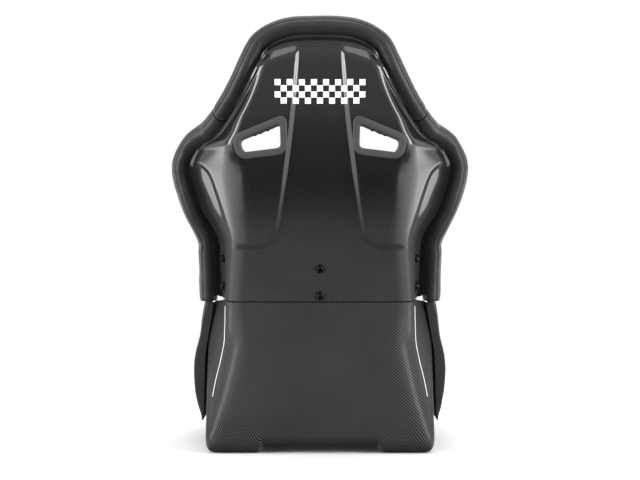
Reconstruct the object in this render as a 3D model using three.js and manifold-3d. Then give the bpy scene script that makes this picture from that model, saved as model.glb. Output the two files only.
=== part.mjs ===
// Bucket racing seat: a two-piece moulded shell, its joint fasteners and mounting inserts,
// the harness slot bezels, and the padded cover that wraps the rim.
// Units are millimetres. +X is the right side seen from behind, +Y is forward, +Z is up.
import * as THREE from 'three';
import { mergeVertices } from 'three/addons/utils/BufferGeometryUtils.js';
import Module from 'manifold-3d';

const wasm = await Module();
wasm.setup();

// ---------------------------------------------------------------- driving dimensions
// Shell, overall
const SEAM_HEIGHT = 293; // the joint between the back shell and the base shell
const SHELL_TOP = 793; // top edge of the back shell
const SHELL_WALL = 4;
const WAIST_HALF = 193; // half width of the shell at the joint
const WAIST_TOP = 400; // the sides run straight up to here
const SHOULDER_HALF = 253;
const SHOULDER_HEIGHT = 553;
const NECK_HALF = 165;
const NECK_HEIGHT = 650;
const HEAD_HALF = 101; // half width where the rounded top corners start
const HEAD_CORNER = 768;

// Lean of the back: how far the outer skin stands behind the foot of the rear wall
const SEAM_SETBACK = 32;
const SHOULDER_SETBACK = 108;
const HEAD_SETBACK = 160;
const PANEL_BOW = 10; // the rear panel curves forward this much at its side creases
const TOP_CURL = 12; // the top edge curls forward

// Side wings: how far the rim stands forward of the rear panel
const WAIST_WING = 140;
const SHOULDER_WING = 155;
const HEAD_WING = 9;

// Raised shoulder panels on the rear skin, either side of the central valley
const PANEL_RISE = 7;
const PANEL_BOTTOM = 394;
const PANEL_TOP_MARGIN = 8;
const PANEL_TOP_DROP = 0.0022; // how fast the panel tops fall away from the middle, per mm squared
const PANEL_STEP = 12; // width of the sloping step around a panel

// Base shell
const BASE_REAR_HALF = 222; // half width of the floor at the rear
const BASE_FRONT_HALF = 227; // half width of the rim at the front lip
const FLOOR_RADIUS = 30; // bend between the rear wall and the floor
const FLOOR_LENGTH = 330; // where the floor starts to rise to the lip
const LIP_DEPTH = 480;
const LIP_HEIGHT = 110;
const LIP_SIDE = 18; // height of the side walls at the lip
const FOOT_INNER_HALF = 122; // the feet run from here to the side walls
const FOOT_HEIGHT = 12;
const FOOT_SHOULDER = 13; // width of the slope beside each foot

// Joint between the shells
const SEAM_GAP = 2; // visible joint line
const NEST_GAP = 1.2; // clearance of the base flange inside the back shell
const FLANGE_HEIGHT = 96; // how far the flange stands up behind the back shell

// Fasteners
const BOLT_RADIUS = 4; // M8
const BOLT_HEAD_RADIUS = 7;
const BOLT_HEAD_HEIGHT = 4.4;
const BOLT_SOCKET_RADIUS = 3.5; // across corners, halved
const BOLT_SOCKET_DEPTH = 3;
const BOLT_LENGTH = 24;
const WASHER_RADIUS = 8.8;
const WASHER_THICKNESS = 1.6;
const NUT_RADIUS = 7.5; // across corners, halved
const NUT_HEIGHT = 6.5;
const FIT_GAP = 0.4; // clearance kept between touching pieces
const HOLE_CLEARANCE = 0.8; // a bolt hole is this much wider in radius than its bolt
const CENTER_BOLT_LOWER = 307;
const CENTER_BOLT_PITCH = 52;
const SIDE_BOLT_LOWER = 322;
const SIDE_BOLT_PITCH = 54;
const SIDE_BOLT_PLACE = 0.905; // share of the way from the spine to the rim

// Mounting: four M8 inserts in the feet, over a steel strip in each side
const MOUNT_HALF_SPACING = 165;
const MOUNT_REAR = 60;
const MOUNT_PITCH = 240;
const INSERT_RADIUS = 6;
const INSERT_FLANGE_RADIUS = 12;
const INSERT_FLANGE = 2;
const STRIP_WIDTH = 40;
const STRIP_THICKNESS = 3;
const STRIP_OVERHANG = 22; // strip length past each insert

// Harness slots: corners in the rear view, on the +X side
const SLOT_CORNERS = [[74.5, 631], [150, 600.5], [144, 577.5], [73.5, 586]];
const SLOT_RADIUS = 5;
const BEZEL_FLANGE = 13;
const BEZEL_THICKNESS = 2.4;
const BEZEL_WALL = 2.2;

// Upholstery
const PAD_GAP = 3; // room for the hook and loop strips behind the pads
const BACK_PAD = 42;
const HEAD_PAD = 46;
const WING_PAD = 36;
const WING_OVERHANG = 40; // the wing pads reach this far past the shell rim
const SEAT_PAD = 62;
const THIGH_PAD = 40;
const THIGH_OVERHANG = 26;
const ROLL_OUT = 18; // half width of the padded rim roll, seen from behind
const ROLL_DEEP = 24; // half depth of the roll
const ROLL_OFFSET = 20.5; // centre of the roll outside the shell rim
const ROLL_FLARE = 9; // the lower ends of the roll stand off this much more
const ROLL_FORWARD = 16; // centre of the roll in front of the shell rim
const SKIRT_BULGE = 24; // the base cover stands this far outside the base shell's sides
const SKIRT_FOOT = 52; // height of the cover's lower edge
const SKIRT_LEAST = 6; // the cover is nowhere thinner, apart from its room for the bolsters
const SKIRT_PAD_GAP = 2.5; // between the cover and a thigh bolster
const SKIRT_CLEARANCE = 4; // between the base shell and the skirt
const SKIRT_STANDOFF = 8; // extra clearance beside the joint, under the roll
const LINING_FLARE = 34; // how far the wing pads spread behind the roll
const HEAD_SPREAD = 9; // how far the headrest spreads past the shell's edge
const LIP_ROLL_HALF = 17; // half depth of the padded front edge
const LIP_ROLL_TALL = 36; // half height of the padded front edge
const LIP_ROLL_PAST = 24; // it runs this far past the sides of the lip
const LIP_ROLL_GAP = 3; // between the lip and its roll
const PIPING_RADIUS = 2.2;
const PIPING_ANGLE = -0.7; // round the roll, from straight outward; minus is towards the rear
const ROLL_SPLIT = 0.315; // share of the rim at which the side rolls meet the head roll
const ROLL_JOINT = 0.0012; // half the sewn gap between two lengths of roll, as a share of the rim
const PAD_SPLIT = 0.5; // share of the back section where the centre pads meet the bolsters
const SEAT_SPLIT = 0.44; // the same for the base
const HIP_END = 0.385; // base row where the hip cushion meets the seat cushion
const LUMBAR_TOP = 440;
const BACK_PAD_TOP = NECK_HEIGHT + 8;
const STRIP_TAPE = 2; // hook and loop thickness
const PAD_SPACE = 1.2; // gap between neighbouring pads
const PAD_FRONT_GAP = 12; // the base pads' linings stop this far behind the lip

// ---------------------------------------------------------------- small maths helpers
const lerp = THREE.MathUtils.lerp;
const clamp = THREE.MathUtils.clamp;
const smooth = (x) => THREE.MathUtils.smoothstep(x, 0, 1);

// A monotone cubic through [position, value] pairs; flat beyond its ends.
function curveThrough(keys) {
  const n = keys.length;
  const step = [];
  for (let i = 0; i < n - 1; i++) step.push((keys[i + 1][1] - keys[i][1]) / (keys[i + 1][0] - keys[i][0]));
  const slope = keys.map((_, i) => {
    if (i === 0) return step[0];
    if (i === n - 1) return step[n - 2];
    return step[i - 1] * step[i] <= 0 ? 0 : (2 * step[i - 1] * step[i]) / (step[i - 1] + step[i]);
  });
  return (x) => {
    if (x <= keys[0][0]) return keys[0][1];
    if (x >= keys[n - 1][0]) return keys[n - 1][1];
    let i = 0;
    while (x > keys[i + 1][0]) i++;
    const h = keys[i + 1][0] - keys[i][0];
    const t = (x - keys[i][0]) / h;
    const a = keys[i][1], b = keys[i + 1][1];
    return (2 * t ** 3 - 3 * t ** 2 + 1) * a + (t ** 3 - 2 * t ** 2 + t) * h * slope[i]
      + (3 * t ** 2 - 2 * t ** 3) * b + (t ** 3 - t ** 2) * h * slope[i + 1];
  };
}

// ---------------------------------------------------------------- solids and booleans
function toSolid(geometry) {
  const plain = geometry.clone();
  plain.deleteAttribute('normal');
  plain.deleteAttribute('uv');
  const merged = mergeVertices(plain, 1e-4);
  const solid = new wasm.Manifold(new wasm.Mesh({
    numProp: 3,
    vertProperties: merged.attributes.position.array,
    triVerts: new Uint32Array(merged.index.array),
  }));
  return solid;
}

function toGeometry(solid) {
  const mesh = solid.getMesh();
  const geometry = new THREE.BufferGeometry();
  geometry.setAttribute('position', new THREE.BufferAttribute(mesh.vertProperties, 3));
  geometry.setIndex(new THREE.BufferAttribute(mesh.triVerts, 1));
  return geometry;
}

const carve = (solid, tools) => tools.reduce((left, tool) => left.subtract(tool), solid);

// The largest body of a solid: a cut can leave slivers behind, which no real piece has.
function mainBody(solid) {
  return solid.decompose().reduce((best, body) => (body.volume() > best.volume() ? body : best));
}

// A closed solid from rings of points that follow each other, capped at both ends.
function loft(rings) {
  const sides = rings[0].length;
  const positions = rings.flat().flatMap((p) => [p.x, p.y, p.z]);
  const index = [];
  for (let i = 0; i < rings.length - 1; i++) {
    for (let j = 0; j < sides; j++) {
      const k = (j + 1) % sides;
      const a = i * sides + j, b = i * sides + k, c = a + sides, d = b + sides;
      index.push(a, b, d, a, d, c);
    }
  }
  const last = (rings.length - 1) * sides;
  for (let j = 1; j < sides - 1; j++) {
    index.push(0, j + 1, j);
    index.push(last, last + j, last + j + 1);
  }
  return facingOut(positions, index);
}

const spread = (from, to, steps) => Array.from({ length: steps + 1 }, (_, i) => lerp(from, to, i / steps));

// A closed solid between two sheets of points, each sampled at the same stations.
function slab(rearSheet, frontSheet, us, vs) {
  const uSteps = us.length - 1;
  const vSteps = vs.length - 1;
  const positions = [];
  for (const sheet of [rearSheet, frontSheet]) {
    for (const u of us) {
      for (const v of vs) {
        const p = sheet(u, v);
        positions.push(p.x, p.y, p.z);
      }
    }
  }
  const row = vSteps + 1;
  const far = (uSteps + 1) * row;
  const index = [];
  const quad = (a, b, c, d) => index.push(a, b, c, a, c, d);
  for (let i = 0; i < uSteps; i++) {
    for (let j = 0; j < vSteps; j++) {
      const a = i * row + j;
      quad(a, a + row, a + row + 1, a + 1);
      quad(far + a, far + a + 1, far + a + row + 1, far + a + row);
    }
    const low = i * row, high = low + vSteps;
    quad(low, far + low, far + low + row, low + row);
    quad(high, high + row, far + high + row, far + high);
  }
  for (let j = 0; j < vSteps; j++) {
    const right = uSteps * row + j;
    quad(j, j + 1, far + j + 1, far + j);
    quad(right, far + right, far + right + 1, right + 1);
  }
  return facingOut(positions, index);
}

// The solid of a closed surface, turned the right way round if its faces point inwards.
function facingOut(positions, index) {
  const geometry = new THREE.BufferGeometry();
  geometry.setAttribute('position', new THREE.Float32BufferAttribute(positions, 3));
  geometry.setIndex(index);
  const solid = toSolid(geometry);
  if (solid.volume() > 0) return solid;
  const flipped = [];
  for (let i = 0; i < index.length; i += 3) flipped.push(index[i], index[i + 2], index[i + 1]);
  geometry.setIndex(flipped);
  return toSolid(geometry);
}

// ---------------------------------------------------------------- back surface
const backDepth = curveThrough([
  [0, 0], [SEAM_HEIGHT, -SEAM_SETBACK], [SHOULDER_HEIGHT, -SHOULDER_SETBACK], [SHELL_TOP, -HEAD_SETBACK],
]);

const rimHalf = curveThrough([
  [SEAM_HEIGHT, WAIST_HALF],
  [WAIST_TOP, WAIST_HALF + 2],
  [lerp(WAIST_TOP, SHOULDER_HEIGHT, 0.52), lerp(WAIST_HALF, SHOULDER_HALF, 0.67)],
  [SHOULDER_HEIGHT, SHOULDER_HALF],
  [SHOULDER_HEIGHT + 36, SHOULDER_HALF - 17],
  [SHOULDER_HEIGHT + 59, lerp(SHOULDER_HALF, NECK_HALF, 0.62)],
  [NECK_HEIGHT, NECK_HALF],
  [lerp(NECK_HEIGHT, HEAD_CORNER, 0.42), lerp(NECK_HALF, HEAD_HALF, 0.47)],
  [HEAD_CORNER, HEAD_HALF],
]);

const wingDepth = curveThrough([
  [SEAM_HEIGHT, WAIST_WING],
  [lerp(SEAM_HEIGHT, SHOULDER_HEIGHT, 0.72), lerp(WAIST_WING, SHOULDER_WING, 0.47)],
  [SHOULDER_HEIGHT, SHOULDER_WING],
  [SHOULDER_HEIGHT + 29, SHOULDER_WING - 10],
  [SHOULDER_HEIGHT + 54, SHOULDER_WING * 0.66],
  [NECK_HEIGHT - 8, 58],
  [lerp(NECK_HEIGHT, HEAD_CORNER, 0.42), 28],
  [HEAD_CORNER, HEAD_WING],
]);

// How far inside the rim the crease between the rear panel and the wing runs.
const creaseInset = curveThrough([
  [SEAM_HEIGHT, 21], [WAIST_TOP, 33], [480, 70], [SHOULDER_HEIGHT, 84],
  [SHOULDER_HEIGHT + 36, 62], [SHOULDER_HEIGHT + 59, 34], [NECK_HEIGHT, 19], [HEAD_CORNER, 16],
]);

const creaseRadius = curveThrough([
  [SEAM_HEIGHT, 24], [WAIST_TOP, 30], [SHOULDER_HEIGHT - 20, 40], [SHOULDER_HEIGHT + 36, 18],
  [NECK_HEIGHT, 12], [HEAD_CORNER, 9],
]);

const backV = (z) => (z - SEAM_HEIGHT) / (HEAD_CORNER - SEAM_HEIGHT);
const backZ = (v) => lerp(SEAM_HEIGHT, HEAD_CORNER, v);

// Half of a section: straight from the centre, round the crease, straight to the rim.
class Section {
  constructor(centre, crease, rim, radius) {
    const first = crease.clone().sub(centre);
    const second = rim.clone().sub(crease);
    const cut = Math.min(radius, first.length() * 0.45, second.length() * 0.45);
    this.centre = centre;
    this.rim = rim;
    this.bendIn = crease.clone().addScaledVector(first.clone().normalize(), -cut);
    this.bendOut = crease.clone().addScaledVector(second.clone().normalize(), cut);
    this.bend = new THREE.QuadraticBezierCurve3(this.bendIn, crease, this.bendOut);
    const lengths = [first.length() - cut, cut * 1.7, second.length() - cut];
    const total = lengths[0] + lengths[1] + lengths[2];
    // Shares of the length at which the bend starts and ends.
    this.start = lengths[0] / total;
    this.end = (lengths[0] + lengths[1]) / total;
  }

  at(share) {
    if (share <= this.start) return this.centre.clone().lerp(this.bendIn, share / this.start);
    if (share <= this.end) return this.bend.getPoint((share - this.start) / (this.end - this.start));
    return this.bendOut.clone().lerp(this.rim, (share - this.end) / (1 - this.end));
  }

  // The share of the length at which the section is this far from the middle.
  shareAt(x) {
    let low = 0, high = 1;
    for (let i = 0; i < 24; i++) {
      const mid = (low + high) / 2;
      if (this.at(mid).x < x) low = mid;
      else high = mid;
    }
    return low;
  }
}

// The back section at height z, moved towards the occupant by `panel` on the rear panel and by
// `wing` on the wing, and past the rim by `reach`.
function backSection(z, panel, wing, reach) {
  const y = backDepth(z);
  const half = rimHalf(z);
  const crease = new THREE.Vector3(half - creaseInset(z), y + PANEL_BOW, 0);
  const rim = new THREE.Vector3(half, y + Math.max(wingDepth(z), PANEL_BOW + 1), 0);
  const along = rim.clone().sub(crease).normalize();
  const inward = new THREE.Vector3(-along.y, along.x, 0);
  // Where the offset panel line and the offset wing line cross.
  crease.x += (wing - panel * inward.y) / inward.x;
  crease.y += panel;
  rim.addScaledVector(inward, wing).addScaledVector(along, reach);
  return new Section(new THREE.Vector3(0, y + panel, 0), crease, rim, creaseRadius(z));
}

// A point on a back section, u from -1 at the left rim to 1 at the right.
function backPlace(section, u, v) {
  const p = section.at(Math.abs(u));
  const rise = (SHELL_TOP - HEAD_CORNER) * smooth((v - 0.7) / 0.3);
  const across = clamp(p.x / section.rim.x, 0, 1);
  const curl = TOP_CURL * smooth((v - 0.9) / 0.1);
  return new THREE.Vector3(Math.sign(u) * p.x, p.y + curl, backZ(v) + rise * (1 - across ** 3.5));
}

// The same, at v from 0 at the joint to 1 at the top edge.
const backPoint = (u, v, panel, wing, reach) =>
  backPlace(backSection(backZ(v), panel, wing, reach), u, v);

// The edges of the raised shoulder panels.
const valleyHalf = curveThrough([
  [PANEL_BOTTOM, 122], [PANEL_BOTTOM + 8, 98], [PANEL_BOTTOM + 18, 86], [429, 77], [461, 71],
  [SHOULDER_HEIGHT, 57], [NECK_HEIGHT, 45], [HEAD_CORNER, 35],
]);
const panelOuter = curveThrough([[PANEL_BOTTOM, 177], [450, 188], [510, 206], [538, 217], [560, 236]]);

// 1 on the raised shoulder panels, 0 elsewhere, with a sloping step between.
function panelMask(x, z) {
  const fromValley = smooth((Math.abs(x) - valleyHalf(z)) / PANEL_STEP);
  const fromBottom = smooth((z - PANEL_BOTTOM) / PANEL_STEP);
  const outerStep = smooth((panelOuter(z) - Math.abs(x)) / PANEL_STEP);
  const fromOuter = lerp(outerStep, 1, smooth((z - SHOULDER_HEIGHT + 8) / 20));
  const fromTop = smooth((SHELL_TOP - PANEL_TOP_MARGIN - z - PANEL_TOP_DROP * x * x) / (2 * PANEL_STEP));
  return fromValley * fromBottom * fromOuter * fromTop;
}

// Columns of the back shell, from -COLUMNS to COLUMNS, follow the panel edges up the shell.
const COLUMNS = 12;

function columnShare(section, column, z) {
  const valley = section.shareAt(valleyHalf(z));
  const step = section.shareAt(valleyHalf(z) + PANEL_STEP);
  const { start, end } = section;
  const outer = clamp(section.shareAt(panelOuter(z)), lerp(end, 1, 0.3), lerp(end, 1, 0.85));
  const inner = lerp(end, outer, 0.7);
  const bend = (t) => lerp(Math.max(start, step + 0.02), end, t);
  const shares = [
    0, valley * 0.5, valley, step, lerp(step, bend(0), 0.5), bend(0), bend(0.25), bend(0.5), bend(0.75),
    end, inner, outer, 1,
  ];
  return shares[Math.abs(column)] * Math.sign(column);
}

const columnRange = spread(-COLUMNS, COLUMNS, 2 * COLUMNS).map(Math.round);

// The back shell's sheets: the outer skin at depth 0 and the lining at depth SHELL_WALL.
function backSheet(depth) {
  return (column, v) => {
    const section = backSection(backZ(v), depth, depth, 0);
    const p = backPlace(section, columnShare(section, column, backZ(v)), v);
    p.y -= PANEL_RISE * panelMask(p.x, p.z);
    return p;
  };
}

// ---------------------------------------------------------------- base surface
// Rows run from the joint (0) down the rear wall, along the floor, to the lip (1).
const WALL_END = 0.38;
const BEND_END = 0.5;
const FLOOR_END = 0.82;

// The middle of a row, moved `depth` towards the occupant.
function baseCentre(s, depth) {
  const radius = FLOOR_RADIUS;
  const wallFoot = depth + radius;
  const y = (z) => backDepth(z) + depth;
  if (s <= WALL_END) {
    const z = lerp(SEAM_HEIGHT, wallFoot, s / WALL_END);
    return new THREE.Vector3(0, y(z), z);
  }
  const start = y(wallFoot);
  if (s <= BEND_END) {
    const angle = ((s - WALL_END) / (BEND_END - WALL_END)) * Math.PI / 2;
    return new THREE.Vector3(0, start + radius * (1 - Math.cos(angle)), wallFoot - radius * Math.sin(angle));
  }
  if (s <= FLOOR_END) {
    const t = (s - BEND_END) / (FLOOR_END - BEND_END);
    return new THREE.Vector3(0, lerp(start + radius, FLOOR_LENGTH, t), depth);
  }
  const t = (s - FLOOR_END) / (1 - FLOOR_END);
  const run = LIP_DEPTH - FLOOR_LENGTH;
  const tilt = Math.atan2(LIP_HEIGHT * 1.4 * t ** 0.4, run);
  return new THREE.Vector3(
    0, FLOOR_LENGTH + run * t - depth * Math.sin(tilt), LIP_HEIGHT * t ** 1.4 + depth * Math.cos(tilt));
}

const baseCreaseHalf = curveThrough([
  [0, WAIST_HALF - 21], [0.09, WAIST_HALF - 23], [0.18, WAIST_HALF - 13], [0.29, BASE_REAR_HALF - 28],
  [WALL_END, BASE_REAR_HALF - 9], [0.44, BASE_REAR_HALF], [BEND_END, BASE_REAR_HALF],
  [FLOOR_END, BASE_REAR_HALF + 2], [1, BASE_FRONT_HALF - 12],
]);
const baseRimHalf = curveThrough([
  [0, WAIST_HALF], [0.18, WAIST_HALF + 17], [WALL_END, BASE_REAR_HALF + 1], [FLOOR_END, BASE_FRONT_HALF - 1],
  [1, BASE_FRONT_HALF],
]);
const baseRimDepth = curveThrough([
  [0, WAIST_WING - SEAM_SETBACK], [WALL_END, WAIST_WING + 15], [BEND_END, WAIST_WING + 32],
  [FLOOR_END, FLOOR_LENGTH + 40], [1, LIP_DEPTH],
]);
const baseRimHeight = curveThrough([
  [0, SEAM_HEIGHT], [WALL_END, SEAM_HEIGHT - 13], [BEND_END, SEAM_HEIGHT - 19],
  [FLOOR_END, LIP_HEIGHT + 66], [1, LIP_HEIGHT + LIP_SIDE],
]);
const baseCreaseRadius = curveThrough([
  [0, 24], [0.2, 44], [WALL_END, 30], [BEND_END, 22], [FLOOR_END, 22], [1, 14],
]);
const baseRim = (s) => new THREE.Vector3(baseRimHalf(s), baseRimDepth(s), baseRimHeight(s));

// The floor between the feet stands clear of the ground.
function footRelief(x, z) {
  const between = smooth((FOOT_INNER_HALF - Math.abs(x)) / FOOT_SHOULDER);
  return FOOT_HEIGHT * between * (1 - smooth(z / 60));
}

// The base section at row s, moved towards the occupant by `floor` on the rear wall and floor and
// by `wall` on the side walls, and past the rim by `reach`.
function baseSection(s, floor, wall, reach) {
  const centre = baseCentre(s, floor);
  const crease = centre.clone();
  crease.x = baseCreaseHalf(s) - wall;
  crease.y += PANEL_BOW * (1 - smooth(s / WALL_END));
  const rim = baseRim(s);
  const along = rim.clone().sub(crease).normalize();
  rim.addScaledVector(along, reach);
  rim.x -= wall;
  return new Section(centre, crease, rim, baseCreaseRadius(s));
}

// A point on a base section, u from -1 at the left rim to 1 at the right.
function basePlace(section, u, floor) {
  const p = section.at(Math.abs(u));
  p.z += footRelief(p.x, Math.max(p.z - floor, 0));
  p.x *= Math.sign(u);
  return p;
}

const basePoint = (u, s, floor, wall, reach) => basePlace(baseSection(s, floor, wall, reach), u, floor);

// Columns of the base shell, from -BASE_COLUMNS to BASE_COLUMNS, follow the edges of the feet.
const BASE_COLUMNS = 10;

function baseColumnShare(section, column) {
  const { start, end } = section;
  const foot = section.shareAt(FOOT_INNER_HALF);
  const inner = section.shareAt(FOOT_INNER_HALF - FOOT_SHOULDER);
  const mid = section.shareAt(FOOT_INNER_HALF - FOOT_SHOULDER / 2);
  const first = Math.max(start, foot + 0.01);
  const shares = [
    0, inner * 0.5, inner, mid, foot, first, lerp(first, end, 0.33), lerp(first, end, 0.67), end, lerp(end, 1, 0.5), 1,
  ];
  return shares[Math.abs(column)] * Math.sign(column);
}

// ---------------------------------------------------------------- rim roll
const RIM_STEPS = 34;

function backRimPoints() {
  const rise = Array.from({ length: RIM_STEPS }, (_, i) => i / RIM_STEPS);
  const topSteps = 12;
  return [
    ...rise.map((v) => backPoint(-1, v, 0, 0, 0)),
    ...spread(-1, 1, topSteps).map((u) => backPoint(u || 1e-6, 1, 0, 0, 0)),
    ...rise.reverse().map((v) => backPoint(1, v, 0, 0, 0)),
  ];
}

const rimPath = new THREE.CatmullRomCurve3(backRimPoints(), false, 'centripetal');

// The roll's centre line and directions at share w of the rim, from the left foot over the head.
function rollFrame(w) {
  const centre = rimPath.getPointAt(w);
  const tangent = rimPath.getTangentAt(w);
  const outward = new THREE.Vector3(-tangent.z, 0, tangent.x).normalize();
  const forward = new THREE.Vector3().crossVectors(outward, tangent).normalize();
  if (forward.y < 0) forward.negate();
  const flare = ROLL_FLARE * (1 - smooth((centre.z - WAIST_TOP + 20) / 90));
  centre.addScaledVector(outward, ROLL_OFFSET + flare);
  centre.y += ROLL_FORWARD;
  return { centre, outward, forward };
}

function rollSolid([from, to, steps], extra) {
  const sides = 12;
  const rings = spread(from, to, steps).map((w) => {
    const { centre, outward, forward } = rollFrame(w);
    if (w === 0 || w === 1) centre.z -= extra;
    return spread(0, 2 * Math.PI, sides).slice(0, sides).map((angle) => centre.clone()
      .addScaledVector(outward, (ROLL_OUT + extra) * Math.cos(angle))
      .addScaledVector(forward, (ROLL_DEEP + extra) * Math.sin(angle)));
  });
  return loft(rings);
}

// A thin cord laid along points, as a closed round tube.
function cordSolid(points, radius, steps) {
  const section = new THREE.Shape().absarc(0, 0, radius, 0, Math.PI * 2);
  const path = new THREE.CatmullRomCurve3(points, false, 'centripetal');
  return toSolid(new THREE.ExtrudeGeometry(section, {
    steps, curveSegments: 3, bevelEnabled: false, extrudePath: path,
  }));
}

// ---------------------------------------------------------------- turned pieces
// A matrix whose +Z points along `axis` from `origin`.
function placing(origin, axis) {
  const turn = new THREE.Quaternion().setFromUnitVectors(new THREE.Vector3(0, 0, 1), axis);
  return new THREE.Matrix4().compose(origin, turn, new THREE.Vector3(1, 1, 1));
}

const lift = (matrix, distance) => matrix.clone().multiply(new THREE.Matrix4().makeTranslation(0, 0, distance));

// A profile of [radius, height] pairs turned about +Z, then placed.
function turnedSolid(profile, segments, matrix) {
  const make = (pairs) => {
    const lathe = new THREE.LatheGeometry(pairs.map(([r, z]) => new THREE.Vector2(r, z)), segments);
    lathe.rotateX(Math.PI / 2);
    lathe.applyMatrix4(matrix);
    return toSolid(lathe);
  };
  const solid = make(profile);
  return solid.volume() > 0 ? solid : make(profile.slice().reverse());
}

const rod = (radius, low, high, matrix, segments = 16) =>
  turnedSolid([[0, low], [radius, low], [radius, high], [0, high]], segments, matrix);

// ---------------------------------------------------------------- joint bolts
// A place on the back shell with the direction out of its skin.
function skinPlace(u, v) {
  const h = 0.01;
  const at = (du, dv) => backPoint(u + du, v + dv, 0, 0, 0);
  const across = at(h, 0).sub(at(-h, 0));
  const along = at(0, h).sub(at(0, -h));
  const outward = new THREE.Vector3().crossVectors(across, along).normalize();
  const origin = at(0, 0);
  return { origin, outward };
}

const joints = [];
for (const [row, level] of [['lower', 0], ['upper', 1]]) {
  const centre = skinPlace(0.02, backV(CENTER_BOLT_LOWER + level * CENTER_BOLT_PITCH));
  centre.origin.x = 0;
  centre.outward.setX(0).normalize();
  joints.push({ name: `center_${row}`, ...centre });
  const v = backV(SIDE_BOLT_LOWER + level * SIDE_BOLT_PITCH);
  joints.push({ name: `left_${row}`, ...skinPlace(-SIDE_BOLT_PLACE, v) });
  joints.push({ name: `right_${row}`, ...skinPlace(SIDE_BOLT_PLACE, v) });
}
for (const joint of joints) joint.matrix = placing(joint.origin, joint.outward);

const boltHoles = joints.map(({ matrix }) => rod(BOLT_RADIUS + HOLE_CLEARANCE, -40, 20, matrix, 12));

// ---------------------------------------------------------------- harness slots
// The outline of the corners moved out by `grow`, with rounded corners.
function slotOutline(corners, grow) {
  const count = corners.length;
  const points = corners.map(([x, z]) => new THREE.Vector2(x, z));
  const centre = points.reduce((sum, p) => sum.add(p), new THREE.Vector2()).divideScalar(count);
  const sideNormal = (from, to) => {
    const direction = to.clone().sub(from).normalize();
    const normal = new THREE.Vector2(direction.y, -direction.x);
    return normal.dot(from.clone().sub(centre)) < 0 ? normal.negate() : normal;
  };
  const moved = points.map((p, i) => {
    const before = sideNormal(points[(i + count - 1) % count], p);
    const after = sideNormal(p, points[(i + 1) % count]);
    return p.clone().addScaledVector(before.clone().add(after), grow / (1 + before.dot(after)));
  });
  const radius = SLOT_RADIUS + Math.max(grow, 0);
  const shape = new THREE.Shape();
  moved.forEach((p, i) => {
    const before = moved[(i + count - 1) % count];
    const after = moved[(i + 1) % count];
    const from = p.clone().addScaledVector(before.clone().sub(p).normalize(), radius);
    const to = p.clone().addScaledVector(after.clone().sub(p).normalize(), radius);
    if (i === 0) shape.moveTo(from.x, from.y);
    else shape.lineTo(from.x, from.y);
    shape.quadraticCurveTo(p.x, p.y, to.x, to.y);
  });
  shape.closePath();
  return shape;
}

const slotCentre = SLOT_CORNERS.reduce(([x, z], c) => [x + c[0] / 4, z + c[1] / 4], [0, 0]);
const slotPlace = skinPlace(
  backSection(slotCentre[1], 0, 0, 0).shareAt(slotCentre[0]), backV(slotCentre[1]));

// Maps the outline (x, z) and a depth onto the seat: +Z of the result runs straight back, and the
// plane of depth 0 lies along the raised panel.
function slotFrame(sign) {
  const { origin, outward } = slotPlace;
  const acrossSlope = -outward.x / outward.y;
  const upSlope = -outward.z / outward.y;
  const start = origin.y - PANEL_RISE - origin.x * acrossSlope - origin.z * upSlope;
  return new THREE.Matrix4().makeBasis(
    new THREE.Vector3(1, sign * acrossSlope, 0),
    new THREE.Vector3(0, upSlope, 1),
    new THREE.Vector3(0, -1, 0),
  ).setPosition(0, start, 0);
}

const sides = [['left', -1], ['right', 1]];
const slotFrames = { left: slotFrame(-1), right: slotFrame(1) };

function slotPrism(side, grow, low, high) {
  const corners = side === 'right' ? SLOT_CORNERS : SLOT_CORNERS.map(([x, z]) => [-x, z]).reverse();
  const prism = new THREE.ExtrudeGeometry(slotOutline(corners, grow), {
    depth: high - low, bevelEnabled: false, curveSegments: 3,
  });
  prism.translate(0, 0, low);
  prism.applyMatrix4(slotFrames[side]);
  return toSolid(prism);
}

// ---------------------------------------------------------------- shells
const slotHoles = sides.map(([side]) => slotPrism(side, BEZEL_WALL + FIT_GAP, -90, 60));

const backRows = [
  SEAM_HEIGHT + SEAM_GAP, 325, 360, PANEL_BOTTOM, PANEL_BOTTOM + 4, PANEL_BOTTOM + 8, PANEL_BOTTOM + PANEL_STEP,
  425, 455, 485, 512, 534, 550, 566, 580, 592, 606, 622, 645, 672, 700, 722, 734, 745, 757, HEAD_CORNER,
].map(backV);
const backShell = carve(
  slab(backSheet(0), backSheet(SHELL_WALL), columnRange, backRows), [...boltHoles, ...slotHoles]);

// The base shell, with the flange that nests inside the back shell above the joint.
// Negative rows climb the flange; the wall steps out to the full section just below the joint.
const NEST = SHELL_WALL + NEST_GAP;
const JOGGLE = 5;

function flangePoint(column, row, depth) {
  const v = (-row * FLANGE_HEIGHT) / (HEAD_CORNER - SEAM_HEIGHT);
  const section = backSection(backZ(v), depth, depth, 0);
  return backPlace(section, baseColumnShare(section, column), v);
}

function wallPoint(column, row, depth) {
  const section = baseSection(row, depth, depth, 0);
  return basePlace(section, baseColumnShare(section, column), depth);
}

const baseOuter = (column, row) => (row < 0 ? flangePoint(column, row + 1e-3, NEST) : wallPoint(column, row, 0));

function baseInner(column, row) {
  if (row > 0) return wallPoint(column, row, SHELL_WALL);
  const p = flangePoint(column, Math.min(row + 1e-3, 0), NEST + SHELL_WALL);
  if (row === 0) p.z -= JOGGLE;
  return p;
}

const insertPlaces = sides.flatMap(([side, sign]) => [['rear', 0], ['front', 1]].map(([row, level]) => ({
  name: `${side}_${row}`,
  matrix: new THREE.Matrix4().setPosition(sign * MOUNT_HALF_SPACING, MOUNT_REAR + level * MOUNT_PITCH, 0),
})));
const insertHoles = insertPlaces.map(({ matrix }) => rod(INSERT_RADIUS + FIT_GAP, -5, 30, matrix));

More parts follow.
